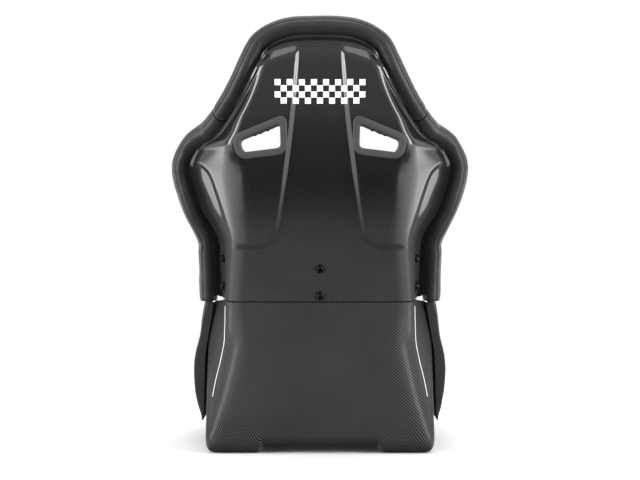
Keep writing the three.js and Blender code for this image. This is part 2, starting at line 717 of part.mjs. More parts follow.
const baseColumns = spread(-BASE_COLUMNS, BASE_COLUMNS, 2 * BASE_COLUMNS).map(Math.round);
const baseRows = [
  -1, -0.5, -1e-3, 0, 0.03, 0.08, 0.14, 0.2, 0.26, 0.32, WALL_END, 0.41, 0.44, 0.47, BEND_END, 0.58, 0.66, 0.74,
  FLOOR_END, 0.87, 0.93, 1,
];
const baseShell = mainBody(carve(
  slab(baseOuter, baseInner, baseColumns, baseRows), [...boltHoles, ...insertHoles]));

// ---------------------------------------------------------------- fasteners
function boltSolid(matrix) {
  const profile = [
    [0, -BOLT_LENGTH + BOLT_HEAD_HEIGHT], [BOLT_RADIUS, -BOLT_LENGTH + BOLT_HEAD_HEIGHT],
    [BOLT_RADIUS, 0], [BOLT_HEAD_RADIUS, 0], [BOLT_HEAD_RADIUS, 1.2],
    [BOLT_HEAD_RADIUS * 0.84, BOLT_HEAD_HEIGHT * 0.74], [BOLT_HEAD_RADIUS * 0.6, BOLT_HEAD_HEIGHT],
    [0, BOLT_HEAD_HEIGHT],
  ];
  const socket = rod(BOLT_SOCKET_RADIUS, BOLT_HEAD_HEIGHT - BOLT_SOCKET_DEPTH, BOLT_HEAD_HEIGHT + 1, matrix, 6);
  return turnedSolid(profile, 12, matrix).subtract(socket);
}

// The stack along a bolt: head, washer, both shell walls, nut. The skin curves under a washer,
// so the washer stands off the skin at its centre.
const WASHER_PROUD = 0.9;
const STACK = 2 * SHELL_WALL + NEST_GAP;

const fasteners = joints.map(({ name, matrix }) => {
  const washerAt = lift(matrix, WASHER_PROUD);
  const boltAt = lift(washerAt, WASHER_THICKNESS + FIT_GAP);
  const nutAt = lift(matrix, -STACK - WASHER_PROUD - NUT_HEIGHT);
  const bore = BOLT_RADIUS + FIT_GAP;
  return {
    name,
    washer: rod(WASHER_RADIUS, 0, WASHER_THICKNESS, washerAt).subtract(rod(bore, -1, 3, washerAt, 12)),
    bolt: boltSolid(boltAt),
    nut: rod(NUT_RADIUS, 0, NUT_HEIGHT, nutAt, 6).subtract(rod(bore, -1, NUT_HEIGHT + 1, nutAt, 12)),
    pocket: rod(NUT_RADIUS + 2, -30, 0, matrix, 12),
  };
});

// ---------------------------------------------------------------- mounting strips and inserts
const stripBottom = SHELL_WALL + FIT_GAP;
const insertTop = stripBottom + STRIP_THICKNESS + FIT_GAP;

function stripSolid(sign) {
  const box = new THREE.BoxGeometry(STRIP_WIDTH, MOUNT_PITCH + 2 * STRIP_OVERHANG, STRIP_THICKNESS);
  box.translate(sign * MOUNT_HALF_SPACING, MOUNT_REAR + MOUNT_PITCH / 2, stripBottom + STRIP_THICKNESS / 2);
  return carve(toSolid(box), insertHoles);
}

function insertSolid(matrix) {
  const profile = [
    [0, 0.2], [INSERT_RADIUS, 0.2], [INSERT_RADIUS, insertTop], [INSERT_FLANGE_RADIUS, insertTop],
    [INSERT_FLANGE_RADIUS, insertTop + INSERT_FLANGE], [0, insertTop + INSERT_FLANGE],
  ];
  return turnedSolid(profile, 16, matrix)
    .subtract(rod(BOLT_RADIUS, -1, insertTop + INSERT_FLANGE + 1, matrix, 12));
}

// ---------------------------------------------------------------- bezels
const BEZEL_SEAT = 2; // the skin bows under a flange, so the flange stands off it
const SLOT_DEPTH = SHELL_WALL + PANEL_RISE + PAD_GAP + BACK_PAD; // from the rear flange to the pad's face
const SLEEVE_SPLIT = SLOT_DEPTH * 0.5; // the two halves of a slot meet here

function rearBezel(side) {
  const flange = slotPrism(side, BEZEL_FLANGE, BEZEL_SEAT, BEZEL_SEAT + BEZEL_THICKNESS);
  const sleeve = slotPrism(side, BEZEL_WALL, -SLEEVE_SPLIT, BEZEL_SEAT + 0.5);
  return flange.add(sleeve).subtract(slotPrism(side, 0, -90, 60));
}

function frontBezel(side) {
  const face = -SLOT_DEPTH - BEZEL_SEAT;
  const flange = slotPrism(side, BEZEL_FLANGE, face - BEZEL_THICKNESS, face);
  const sleeve = slotPrism(side, BEZEL_WALL, face - 0.5, -SLEEVE_SPLIT - FIT_GAP);
  return flange.add(sleeve).subtract(slotPrism(side, 0, -150, 60));
}

// ---------------------------------------------------------------- upholstery tools
const rollParts = {
  head: [ROLL_SPLIT + ROLL_JOINT, 1 - ROLL_SPLIT - ROLL_JOINT, 28],
  left: [0, ROLL_SPLIT - ROLL_JOINT, 21],
  right: [1 - ROLL_SPLIT + ROLL_JOINT, 1, 21],
};
const rollTools = Object.values(rollParts).map((part) => rollSolid(part, 0.7));
const slotRooms = sides.map(([side]) => slotPrism(side, BEZEL_WALL + 1, -150, 60));
const frontFlangeRooms = sides.map(([side]) => slotPrism(side, BEZEL_FLANGE + 1, -150, -SLOT_DEPTH - BEZEL_SEAT + 0.4));
const pockets = fasteners.map(({ pocket }) => pocket);
const flangeRoom = slab(
  (u, v) => backPoint(u, v, 0, 0, 2),
  (u, v) => backPoint(u, v, NEST + SHELL_WALL + 1, NEST + SHELL_WALL + 1, 2),
  spread(-1, 1, 24), spread(backV(SEAM_HEIGHT - 20), backV(SEAM_HEIGHT + FLANGE_HEIGHT + 2), 3),
);
// Room for the back shell, a millimetre clear inside.
const backShellRoom = slab(backSheet(-1), backSheet(SHELL_WALL + 1), columnRange, backRows);
const trimTools = [...pockets, ...slotRooms, ...frontFlangeRooms, flangeRoom, backShellRoom, ...rollTools];

// ---------------------------------------------------------------- back pads
const LINING = SHELL_WALL + PAD_GAP;

// Past the rim the lining flares out behind the roll, so the roll and the pad meet.
function backLining(u, v) {
  const p = backPoint(u, v, LINING, LINING, WING_OVERHANG);
  const flare = LINING_FLARE * (1 - 0.4 * smooth((backZ(v) - WAIST_TOP) / 100));
  p.x += Math.sign(u) * flare * smooth((Math.abs(u) - 0.86) / 0.14);
  return p;
}

function backPad(uRange, [low, high], thickness, wing, uSteps, vSteps) {
  const us = spread(...uRange, uSteps);
  const vs = spread(backV(low), backV(high), vSteps);
  return slab(
    backLining, (u, v) => backPoint(u, v, LINING + thickness, LINING + wing, WING_OVERHANG), us, vs);
}

// The headrest spreads past the shell's edge to meet the roll.
function headPoint(u, v, depth) {
  const p = backPoint(u, v, depth, depth, 0);
  p.x += HEAD_SPREAD * Math.sign(u) * Math.abs(u) ** 6;
  p.z += HEAD_SPREAD * smooth((v - 0.85) / 0.15);
  return p;
}

const backPads = {
  headrest_cushion: slab(
    (u, v) => headPoint(u, v, LINING + 1),
    (u, v) => headPoint(u, v, LINING + HEAD_PAD * (1 - 0.45 * Math.abs(u) ** 5)),
    spread(-1, 1, 14), spread(backV(BACK_PAD_TOP + PAD_SPACE), 1, 6),
  ),
  backrest_cushion: backPad([-PAD_SPLIT, PAD_SPLIT], [LUMBAR_TOP + PAD_SPACE, BACK_PAD_TOP], BACK_PAD, WING_PAD, 10, 8),
  lumbar_cushion: backPad([-PAD_SPLIT, PAD_SPLIT], [SEAM_HEIGHT + 3, LUMBAR_TOP], BACK_PAD, WING_PAD, 10, 6),
};
for (const [side, sign] of sides) {
  const range = sign > 0 ? [PAD_SPLIT + 0.008, 0.995] : [-0.995, -PAD_SPLIT - 0.008];
  backPads[`back_bolster_${side}`] = backPad(range, [SEAM_HEIGHT + 3, BACK_PAD_TOP], BACK_PAD, WING_PAD, 8, 14);
}

// ---------------------------------------------------------------- base pads
// The overhang past the rim fades out towards the joint, where the back bolsters take over.
const overhang = (s) => THIGH_OVERHANG * smooth((s - 0.1) / 0.35);
const baseLining = (u, s, grow = 0) => basePoint(
  u, s, LINING + (s > WALL_END ? STRIP_THICKNESS + INSERT_FLANGE + 1 : 2) - grow, LINING + 3 - grow,
  overhang(s) + grow);

// Pads that meet share these rows.
const frontRow = 1 - ((1 - FLOOR_END) * PAD_FRONT_GAP) / (LIP_DEPTH - FLOOR_LENGTH - 40);
const padRows = [
  0.012, 0.1, 0.19, 0.28, 0.34, HIP_END, HIP_END + 0.005, 0.41, 0.44, 0.47, BEND_END, 0.6, 0.7, FLOOR_END, 0.88,
  0.94, frontRow,
];

// A base pad, or the room for one if `grow` is more than 0.
function basePad(uRange, rows, uSteps, grow = 0) {
  const face = (u, s) => {
    const depth = lerp(BACK_PAD + 6, SEAT_PAD, smooth(s / WALL_END)) + grow;
    return basePoint(u, s, LINING + depth, LINING + THIGH_PAD + grow, overhang(s) + grow);
  };
  return slab((u, s) => baseLining(u, s, grow), face, spread(...uRange, uSteps), rows);
}

const insertRooms = insertPlaces.map(({ matrix }) => rod(INSERT_FLANGE_RADIUS + 1, 0, insertTop + INSERT_FLANGE + 1, matrix));
// Room for the base shell and its faceted curves, a millimetre clear on both faces.
const shellRoom = slab(
  (column, row) => wallPoint(column, row, -1), (column, row) => wallPoint(column, row, SHELL_WALL + 1),
  baseColumns, baseRows.filter((row) => row >= 0));
const thighRange = (sign) => (sign > 0 ? [SEAT_SPLIT + 0.006, 0.99] : [-0.99, -SEAT_SPLIT - 0.006]);
const thighRoom = (sign) => basePad(thighRange(sign), padRows, 8, SKIRT_PAD_GAP);
const basePads = {
  hip_cushion: basePad([-SEAT_SPLIT, SEAT_SPLIT], padRows.filter((s) => s <= HIP_END), 10),
  seat_cushion: basePad([-SEAT_SPLIT, SEAT_SPLIT], padRows.filter((s) => s > HIP_END), 10),
};
for (const [side, sign] of sides) {
  basePads[`thigh_bolster_${side}`] = basePad(thighRange(sign), padRows, 8);
}

// The outer face of the base cover: half width against height.
const skirtOuter = curveThrough([
  [SKIRT_FOOT, BASE_FRONT_HALF + 7], [77, BASE_FRONT_HALF + 14], [97, BASE_FRONT_HALF + 18],
  [117, BASE_FRONT_HALF + 21], [157, BASE_FRONT_HALF + SKIRT_BULGE], [177, BASE_FRONT_HALF + 23],
  [197, BASE_FRONT_HALF + 19], [217, BASE_FRONT_HALF + 13], [257, BASE_FRONT_HALF + 9],
  [SEAM_HEIGHT, BASE_FRONT_HALF + 5],
]);
// The inner face: the base shell widens from its joint down to its floor.
const skirtInner = curveThrough([
  [SKIRT_FOOT, BASE_FRONT_HALF], [204, BASE_REAR_HALF + 2], [SEAM_HEIGHT, WAIST_HALF + SKIRT_STANDOFF],
]);

// The base cover hangs straight down outside the base shell as a padded skirt from its rim.
function skirtSolid(sign) {
  const ringSides = 12;
  const rings = spread(0.02, 0.998, 20).map((s) => {
    const clearance = SKIRT_CLEARANCE + SKIRT_STANDOFF * (1 - smooth(s / 0.35));
    const rim = baseRim(s);
    const top = rim.z + 0.8 * overhang(s);
    return spread(0, 2 * Math.PI, ringSides).slice(0, ringSides).map((angle) => {
      const low = 0.5 - 0.5 * Math.sign(Math.cos(angle)) * Math.abs(Math.cos(angle)) ** 0.7;
      const z = lerp(top, SKIRT_FOOT, low);
      const inner = Math.max(rim.x + clearance, skirtInner(z) + SKIRT_CLEARANCE);
      const outer = Math.max(skirtOuter(z), inner + SKIRT_LEAST);
      const across = 0.5 + 0.5 * Math.sign(Math.sin(angle)) * Math.abs(Math.sin(angle)) ** 0.5;
      return new THREE.Vector3(sign * lerp(inner, outer, across), rim.y, z);
    });
  });
  return loft(rings);
}

// The padded edge in front of the lip covers the front ends of the pads and skirts.
function lipRoll() {
  const ringSides = 12;
  const half = BASE_FRONT_HALF + LIP_ROLL_PAST;
  const rings = spread(-1, 1, 16).map((t) => {
    const round = Math.sqrt(1 - 0.7 * Math.abs(t) ** 8);
    return spread(0, 2 * Math.PI, ringSides).slice(0, ringSides).map((angle) => new THREE.Vector3(
      half * Math.sin((t * Math.PI) / 2), LIP_DEPTH + LIP_ROLL_HALF + LIP_ROLL_GAP + LIP_ROLL_HALF * round * Math.cos(angle),
      LIP_HEIGHT + 14 + LIP_ROLL_TALL * round * Math.sin(angle)));
  });
  return loft(rings);
}

// ---------------------------------------------------------------- hook and loop strips
function tape(pointAt, us, vs) {
  const near = SHELL_WALL + FIT_GAP;
  const sheet = (depth) => (u, v) => pointAt(u, v, depth, depth, 0);
  return slab(sheet(near), sheet(near + STRIP_TAPE), us, vs);
}

// ---------------------------------------------------------------- piping
// The welt is sewn where the rear band of the roll meets the front cover.
function piping([from, to, steps]) {
  const reach = PIPING_RADIUS + 0.8;
  const points = spread(from + 2 * ROLL_JOINT, to - 2 * ROLL_JOINT, steps).map((w) => {
    const { centre, outward, forward } = rollFrame(w);
    return centre
      .addScaledVector(outward, (ROLL_OUT + reach) * Math.cos(PIPING_ANGLE))
      .addScaledVector(forward, (ROLL_DEEP + reach) * Math.sin(PIPING_ANGLE));
  });
  return cordSolid(points, PIPING_RADIUS, steps + 8);
}

// ---------------------------------------------------------------- materials and assembly
const finishes = {
  shell: { color: 0x2b2b2c, roughness: 0.3, metalness: 0.1 },
  trim: { color: 0x232325, roughness: 0.55, metalness: 0 },
  leather: { color: 0x303234, roughness: 0.5, metalness: 0 },
  fabric: { color: 0x1c1d1e, roughness: 0.85, metalness: 0 },
  bolt: { color: 0x18181a, roughness: 0.4, metalness: 0.8 },
  steel: { color: 0x8c8f93, roughness: 0.4, metalness: 0.9 },
  tape: { color: 0x111112, roughness: 0.95, metalness: 0 },
};

const seat = new THREE.Group();

function add(name, solid, finish) {
  const mesh = new THREE.Mesh(toGeometry(solid), new THREE.MeshStandardMaterial(finishes[finish]));
  mesh.name = name;
  seat.add(mesh);
}

add('back_shell', backShell, 'shell');
add('base_shell', baseShell, 'shell');

for (const { name, washer, bolt, nut } of fasteners) {
  add(`joint_bolt_${name}`, bolt, 'bolt');
  add(`joint_washer_${name}`, washer, 'bolt');
  add(`joint_nut_${name}`, nut, 'steel');
}

for (const [side, sign] of sides) {
  add(`harness_bezel_rear_${side}`, rearBezel(side), 'trim');
  add(`harness_bezel_front_${side}`, frontBezel(side), 'trim');
  add(`mount_strip_${side}`, stripSolid(sign), 'steel');
}
for (const { name, matrix } of insertPlaces) add(`mount_insert_${name}`, insertSolid(matrix), 'steel');

for (const [name, part] of Object.entries(rollParts)) {
  add(`rim_roll_${name}`, rollSolid(part, 0), 'leather');
  add(`piping_${name}`, piping(part), 'leather');
}
for (const [name, pad] of Object.entries(backPads)) add(name, mainBody(carve(pad, trimTools)), 'fabric');
for (const [name, pad] of Object.entries(basePads)) {
  add(name, mainBody(carve(pad, [...insertRooms, shellRoom, flangeRoom, ...rollTools])), 'fabric');
}
for (const [side, sign] of sides) {
  add(`base_skirt_${side}`, mainBody(carve(skirtSolid(sign), [shellRoom, thighRoom(sign), ...rollTools])), 'leather');
  const band = (a, b) => (sign > 0 ? [a, b] : [-b, -a]);
  add(`back_tape_${side}`, tape(backPoint, spread(...band(0.12, 0.22), 2), spread(backV(470), backV(560), 4)), 'tape');
  add(`seat_tape_${side}`, tape(basePoint, spread(...band(0.08, 0.18), 2), spread(0.56, 0.76, 3)), 'tape');
}
add('front_lip_roll', lipRoll(), 'leather');

// The origin is under the middle of the whole seat, on the surface it stands on.
const extent = new THREE.Box3().setFromObject(seat);
seat.position.y = -(extent.min.y + extent.max.y) / 2;

export default seat;
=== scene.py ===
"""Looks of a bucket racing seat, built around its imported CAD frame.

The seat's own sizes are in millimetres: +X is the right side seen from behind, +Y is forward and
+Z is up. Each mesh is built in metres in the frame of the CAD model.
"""
import sys
import logging
import math
from dataclasses import dataclass, field
from enum import Enum
from typing import Callable, Sequence

import bmesh
import bpy
import numpy as np
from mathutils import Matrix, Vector, noise
from mathutils.bvhtree import BVHTree


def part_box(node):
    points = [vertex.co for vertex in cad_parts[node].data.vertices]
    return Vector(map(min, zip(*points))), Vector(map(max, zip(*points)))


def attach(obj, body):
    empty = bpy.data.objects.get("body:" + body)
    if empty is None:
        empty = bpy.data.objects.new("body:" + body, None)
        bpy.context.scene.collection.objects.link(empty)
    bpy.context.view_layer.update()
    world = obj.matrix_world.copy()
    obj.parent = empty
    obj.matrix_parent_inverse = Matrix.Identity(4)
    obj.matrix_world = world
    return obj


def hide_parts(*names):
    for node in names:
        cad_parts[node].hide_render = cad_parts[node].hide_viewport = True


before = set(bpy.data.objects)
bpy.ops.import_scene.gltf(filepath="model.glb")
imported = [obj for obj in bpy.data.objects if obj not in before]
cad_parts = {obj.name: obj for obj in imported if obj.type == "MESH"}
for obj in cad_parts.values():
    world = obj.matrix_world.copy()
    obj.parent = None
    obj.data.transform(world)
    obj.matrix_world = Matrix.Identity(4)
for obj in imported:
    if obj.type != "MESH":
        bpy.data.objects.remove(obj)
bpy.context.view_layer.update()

LOG = logging.getLogger("seat")
BODY = "root"
MM = 0.001
FULL_TURN = 2 * math.pi
HARD_EDGE = math.radians(35)
NORMAL_STEP = 0.01
SHARE_HALVINGS = 20
ROW_HALVINGS = 24

Object = bpy.types.Object
Material = bpy.types.Material
Socket = bpy.types.NodeSocket
Pair = tuple[float, float]
Sheet = list[list[Vector]]


class Side(Enum):
    """A side of the seat, with the sign of its X."""

    LEFT = -1
    RIGHT = 1

    @property
    def word(self) -> str:
        """The side's word in node names."""
        return self.name.lower()


class Slot(Enum):
    """The material slots."""

    SHELL = "shell"
    BEZEL = "bezel"
    LEATHER = "leatherette"
    FABRIC = "seat_fabric"
    BLACK = "black_hardware"
    ZINC = "zinc_hardware"


# ---------------------------------------------------------------- small maths
def clamp(x: float, low: float, high: float) -> float:
    """Holds x between low and high."""
    return min(max(x, low), high)


def lerp(a: float, b: float, t: float) -> float:
    """The value a share t of the way from a to b."""
    return a + (b - a) * t


def smooth(x: float) -> float:
    """A smooth step from 0 at 0 to 1 at 1."""
    t = clamp(x, 0.0, 1.0)
    return t * t * (3 - 2 * t)


def spread(start: float, end: float, steps: int) -> list[float]:
    """Evenly spaced values with both ends.

    Args:
        start: The first value.
        end: The last value.
        steps: How many intervals.

    Returns:
        steps + 1 values.
    """
    return [lerp(start, end, i / steps) for i in range(steps + 1)]


def turns(sides: int) -> list[float]:
    """The angles of a closed ring's corners."""
    return spread(0, FULL_TURN, sides)[:-1]


def along_anchors(anchors: Sequence[float], column: float) -> float:
    """The share of a column from -1 to 1, where even columns run through the anchors."""
    place = abs(column) * (len(anchors) - 1)
    i = min(int(place), len(anchors) - 2)
    return math.copysign(lerp(anchors[i], anchors[i + 1], place - i), column)


def ridge(angle: float, centre: float, width: float) -> float:
    """A bump round an angle, 1 at its centre."""
    return math.exp(-(((angle - centre + math.pi) % FULL_TURN - math.pi) / width) ** 2)


class Profile:
    """A monotone cubic through (place, value) keys, flat beyond its ends."""

    def __init__(self, *keys: Pair) -> None:
        """Works out the slope at each key.

        Args:
            keys: The (place, value) pairs, in rising order of place.
        """
        self.keys = keys
        step = [(b[1] - a[1]) / (b[0] - a[0]) for a, b in zip(keys, keys[1:])]
        inner = [0.0 if a * b <= 0 else 2 * a * b / (a + b) for a, b in zip(step, step[1:])]
        self.slopes = [step[0], *inner, step[-1]]

    def __call__(self, x: float) -> float:
        """The value at place x."""
        keys = self.keys
        if x <= keys[0][0]:
            return keys[0][1]
        if x >= keys[-1][0]:
            return keys[-1][1]
        i = max(j for j, key in enumerate(keys[:-1]) if key[0] <= x)
        h = keys[i + 1][0] - keys[i][0]
        t = (x - keys[i][0]) / h
        first, last = keys[i][1], keys[i + 1][1]
        value = (2 * t**3 - 3 * t**2 + 1) * first + (3 * t**2 - 2 * t**3) * last
        start, end = self.slopes[i], self.slopes[i + 1]
        return value + h * ((t**3 - 2 * t**2 + t) * start + (t**3 - t**2) * end)


# ---------------------------------------------------------------- the seat's surfaces
class Section:
    """Half of a section: straight from the centre, round the crease, straight to the rim."""

    MOST_CUT = 0.45
    BEND_WEIGHT = 1.7

    def __init__(self, centre: Vector, crease: Vector, rim: Vector, radius: float) -> None:
        """Rounds the crease.

        Args:
            centre: The point on the seat's middle plane.
            crease: Where the two straight lines would meet.
            rim: The outer end.
            radius: How far from the crease the bend starts.
        """
        first, second = crease - centre, rim - crease
        cut = min(radius, first.length * self.MOST_CUT, second.length * self.MOST_CUT)
        self.centre, self.crease, self.rim = centre, crease, rim
        self.bend_in = crease - first.normalized() * cut
        self.bend_out = crease + second.normalized() * cut
        lengths = [first.length - cut, cut * self.BEND_WEIGHT, second.length - cut]
        self.length = sum(lengths)
        self.start = lengths[0] / self.length
        self.end = (lengths[0] + lengths[1]) / self.length

    def at(self, share: float) -> Vector:
        """The point a share of the length from the centre."""
        if share <= self.start:
            return self.centre.lerp(self.bend_in, share / self.start)
        if share <= self.end:
            t = (share - self.start) / (self.end - self.start)
            return self.bend_in.lerp(self.crease, t).lerp(self.crease.lerp(self.bend_out, t), t)
        return self.bend_out.lerp(self.rim, (share - self.end) / (1 - self.end))

    def share_at(self, x: float) -> float:
        """The share of the length at which the section is x from the middle."""
        low, high = 0.0, 1.0
        for _ in range(SHARE_HALVINGS):
            mid = (low + high) / 2
            if self.at(mid).x < x:
                low = mid
            else:
                high = mid
        return low


@dataclass
class BackForm:
    """The back shell's skin, from the joint (v = 0) to the top edge (v = 1)."""

    seam: float = 293.0
    top: float = 793.0
    corner: float = 768.0
    bow: float = 10.0
    curl: float = 12.0
    panel_rise: float = 7.0
    panel_bottom: float = 394.0
    panel_step: float = 12.0
    panel_top_margin: float = 8.0
    panel_top_drop: float = 0.0022
    shoulder: float = 553.0
    depth: Profile = Profile((0, 0), (293, -32), (553, -108), (793, -160))
    rim_half: Profile = Profile(
        (293, 193), (400, 195), (479.6, 233.2), (553, 253), (589, 236), (612, 198.4), (650, 165),
        (699.6, 134.9), (768, 101))
    wing: Profile = Profile(
        (293, 140), (480.2, 147.1), (553, 155), (582, 145), (607, 102.3),
        (642, 58), (699.6, 28), (768, 9))
    crease_inset: Profile = Profile(
        (293, 21), (400, 33), (480, 70), (553, 84), (589, 62), (612, 34), (650, 19), (768, 16))
    crease_radius: Profile = Profile(
        (293, 24), (400, 30), (533, 40), (589, 18), (650, 12), (768, 9))
    valley: Profile = Profile(
        (394, 122), (402, 98), (412, 86), (429, 77), (461, 71), (553, 57), (650, 45), (768, 35))
    panel_outer: Profile = Profile((394, 177), (450, 188), (510, 206), (538, 217), (560, 236))

    def v(self, z: float) -> float:
        """The row at height z."""
        return (z - self.seam) / (self.corner - self.seam)

    def z(self, v: float) -> float:
        """The height of row v at the rim."""
        return lerp(self.seam, self.corner, v)

    def section(self, z: float, inset: float = 0.0) -> Section:
        """The right half of the section at height z, moved inset towards the occupant."""
        y, half = self.depth(z), self.rim_half(z)
        crease = Vector((half - self.crease_inset(z), y + self.bow, 0))
        rim = Vector((half, y + max(self.wing(z), self.bow + 1), 0))
        along = (rim - crease).normalized()
        inward = Vector((-along.y, along.x, 0))
        crease += Vector(((inset - inset * inward.y) / inward.x, inset, 0))
        rim += inward * inset
        return Section(Vector((0, y + inset, 0)), crease, rim, self.crease_radius(z))

    def place(self, section: Section, u: float, v: float) -> Vector:
        """A point on a section, u from -1 at the left rim to 1 at the right."""
        p = section.at(abs(u))
        rise = (self.top - self.corner) * smooth((v - 0.7) / 0.3)
        across = clamp(p.x / section.rim.x, 0, 1)
        curl = self.curl * smooth((v - 0.9) / 0.1)
        return Vector((math.copysign(p.x, u), p.y + curl, self.z(v) + rise * (1 - across**3.5)))

    def point(self, u: float, v: float) -> Vector:
        """A point of the skin, u from -1 at the left rim to 1 at the right."""
        return self.place(self.section(self.z(v)), u, v)

    def outward(self, u: float, v: float) -> Vector:
        """The direction that the skin faces at a point."""
        step = NORMAL_STEP
        across = self.point(u + step, v) - self.point(u - step, v)
        return across.cross(self.point(u, v + step) - self.point(u, v - step)).normalized()

    def panel_mask(self, x: float, z: float) -> float:
        """1 on the raised shoulder panels and 0 elsewhere, with a sloping step between."""
        step = self.panel_step
        inner = smooth((abs(x) - self.valley(z)) / step) * smooth((z - self.panel_bottom) / step)
        above_shoulder = smooth((z - self.shoulder + 8) / 20)
        outer = lerp(smooth((self.panel_outer(z) - abs(x)) / step), 1, above_shoulder)
        below_top = self.top - self.panel_top_margin - z - self.panel_top_drop * x * x
        top = smooth(below_top / (2 * step))
        return inner * outer * top

    def column_share(self, section: Section, column: float, z: float) -> float:
        """The share of a column from -1 to 1 that follows the panels' edges up the shell."""
        valley = section.share_at(self.valley(z))
        step = section.share_at(self.valley(z) + self.panel_step)
        start, end = section.start, section.end
        outer = clamp(section.share_at(self.panel_outer(z)), lerp(end, 1, 0.3), lerp(end, 1, 0.85))
        bend = max(start, step + 0.02)
        return along_anchors(
            [0, valley / 2, valley, step, lerp(step, bend, 0.5), bend, *spread(bend, end, 4)[1:],
             lerp(end, outer, 0.7), outer, 1], column)


@dataclass
class BaseForm:
    """The base shell's skin: rows run from the joint (0) down the rear wall to the lip (1)."""

    back: BackForm
    wall_end: float = 0.38
    bend_end: float = 0.5
    floor_end: float = 0.82
    floor_radius: float = 30.0
    floor_length: float = 330.0
    lip_depth: float = 480.0
    lip_height: float = 110.0
    foot_inner: float = 122.0
    foot_height: float = 12.0
    foot_shoulder: float = 13.0
    crease_half: Profile = Profile(
        (0, 172), (0.09, 170), (0.18, 180), (0.29, 194), (0.38, 213), (0.44, 222),
        (0.5, 222), (0.82, 224), (1, 215))
    rim_half: Profile = Profile((0, 193), (0.18, 210), (0.38, 223), (0.82, 226), (1, 227))
    rim_depth: Profile = Profile((0, 108), (0.38, 155), (0.5, 172), (0.82, 370), (1, 480))
    rim_height: Profile = Profile((0, 293), (0.38, 280), (0.5, 274), (0.82, 176), (1, 128))
    crease_radius: Profile = Profile((0, 24), (0.2, 44), (0.38, 30), (0.5, 22), (0.82, 22), (1, 14))

    def centre(self, s: float) -> Vector:
        """The middle of row s."""
        radius = self.floor_radius
        if s <= self.wall_end:
            z = lerp(self.back.seam, radius, s / self.wall_end)
            return Vector((0, self.back.depth(z), z))
        start = self.back.depth(radius)
        if s <= self.bend_end:
            angle = (s - self.wall_end) / (self.bend_end - self.wall_end) * math.pi / 2
            return Vector((0, start + radius * (1 - math.cos(angle)),
                           radius - radius * math.sin(angle)))
        if s <= self.floor_end:
            t = (s - self.bend_end) / (self.floor_end - self.bend_end)
            return Vector((0, lerp(start + radius, self.floor_length, t), 0))
        t = (s - self.floor_end) / (1 - self.floor_end)
        run = self.lip_depth - self.floor_length
        return Vector((0, self.floor_length + run * t, self.lip_height * t**1.4))

    def rim(self, s: float) -> Vector:
        """The right rim at row s."""
        return Vector((self.rim_half(s), self.rim_depth(s), self.rim_height(s)))

    def section(self, s: float) -> Section:
        """The right half of the section at row s."""
        centre = self.centre(s)
        crease = centre.copy()
        crease.x = self.crease_half(s)
        crease.y += self.back.bow * (1 - smooth(s / self.wall_end))
        return Section(centre, crease, self.rim(s), self.crease_radius(s))

    def place(self, section: Section, u: float) -> Vector:
        """A point on a section, u from -1 at the left rim to 1 at the right."""
        p = section.at(abs(u))
        between = smooth((self.foot_inner - abs(p.x)) / self.foot_shoulder)
        p.z += self.foot_height * between * (1 - smooth(max(p.z, 0) / 60))
        p.x = math.copysign(p.x, u)
        return p

    def column_share(self, section: Section, column: float) -> float:
        """The share of a column from -1 to 1 that follows the edges of the feet."""
        end = section.end
        foot = section.share_at(self.foot_inner)
        inner = section.share_at(self.foot_inner - self.foot_shoulder)
        middle = section.share_at(self.foot_inner - self.foot_shoulder / 2)
        first = max(section.start, foot + 0.01)
        return along_anchors(
            [0, inner / 2, inner, middle, foot, *spread(first, end, 3), lerp(end, 1, 0.5), 1],
            column)

    def side_place(self, x: float, z: float) -> Pair:
        """The row and share of the point of the right side wall at (x, z) in the rear view."""
        low, high = 0.0, self.wall_end
        for _ in range(ROW_HALVINGS):
            s = (low + high) / 2
            section = self.section(s)
            share = section.share_at(x)
            if section.at(share).z > z:
                low = s
            else:
                high = s
        return s, share


BACK = BackForm()
BASE = BaseForm(BACK)
# The CAD model's origin is under the middle of the seat: its lip says how far the frames differ.
SHIFT = BASE.lip_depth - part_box("base_shell")[1].y / MM


def placed(p: Vector) -> Vector:
    """A point in seat millimetres as a point in the CAD frame, in metres."""
    return Vector((p.x, p.y - SHIFT, p.z)) * MM


# ---------------------------------------------------------------- meshes
def add_object(name: str, data: bpy.types.ID) -> Object:
    """A new object in the scene, at the origin."""
    made = bpy.data.objects.new(name, data)
    bpy.context.scene.collection.objects.link(made)
    return made


def mesh_object(name: str, points: Sequence[Vector],
                faces: Sequence[Sequence[int]]) -> Object:
    """A smooth-shaded mesh object.

    Args:
        name: The piece's name.
        points: Its vertices, in metres.
        faces: Its faces, as vertex numbers.

    Returns:
        The new object, at the origin.
    """
    mesh = bpy.data.meshes.new(name)
    mesh.from_pydata([tuple(p) for p in points], [], faces)
    mesh.update()
    made = add_object(name, mesh)
    mesh.shade_smooth()
    return made


def sheet_object(name: str, rows: Sheet, closed: bool = False) -> Object:
    """A grid of points as one sheet of quads.

    Args:
        name: The piece's name.
        rows: Equal rows of points, in metres.
        closed: Whether each row joins its own end.

    Returns:
        The new object.
    """
    wide = len(rows[0])
    columns = wide if closed else wide - 1
    faces = []
    for low in range(0, (len(rows) - 1) * wide, wide):
        for j in range(columns):
            after = (j + 1) % wide
            faces.append((low + j, low + after, low + wide + after, low + wide + j))
    return mesh_object(name, [p for row in rows for p in row], faces)


def turn_out(obj: Object) -> None:
    """Merges doubles and turns the faces of a closed mesh outwards."""
    work = bmesh.new()
    work.from_mesh(obj.data)
    bmesh.ops.remove_doubles(work, verts=work.verts, dist=1e-6)
    bmesh.ops.recalc_face_normals(work, faces=work.faces)
    work.to_mesh(obj.data)
    work.free()
    obj.data.shade_smooth()


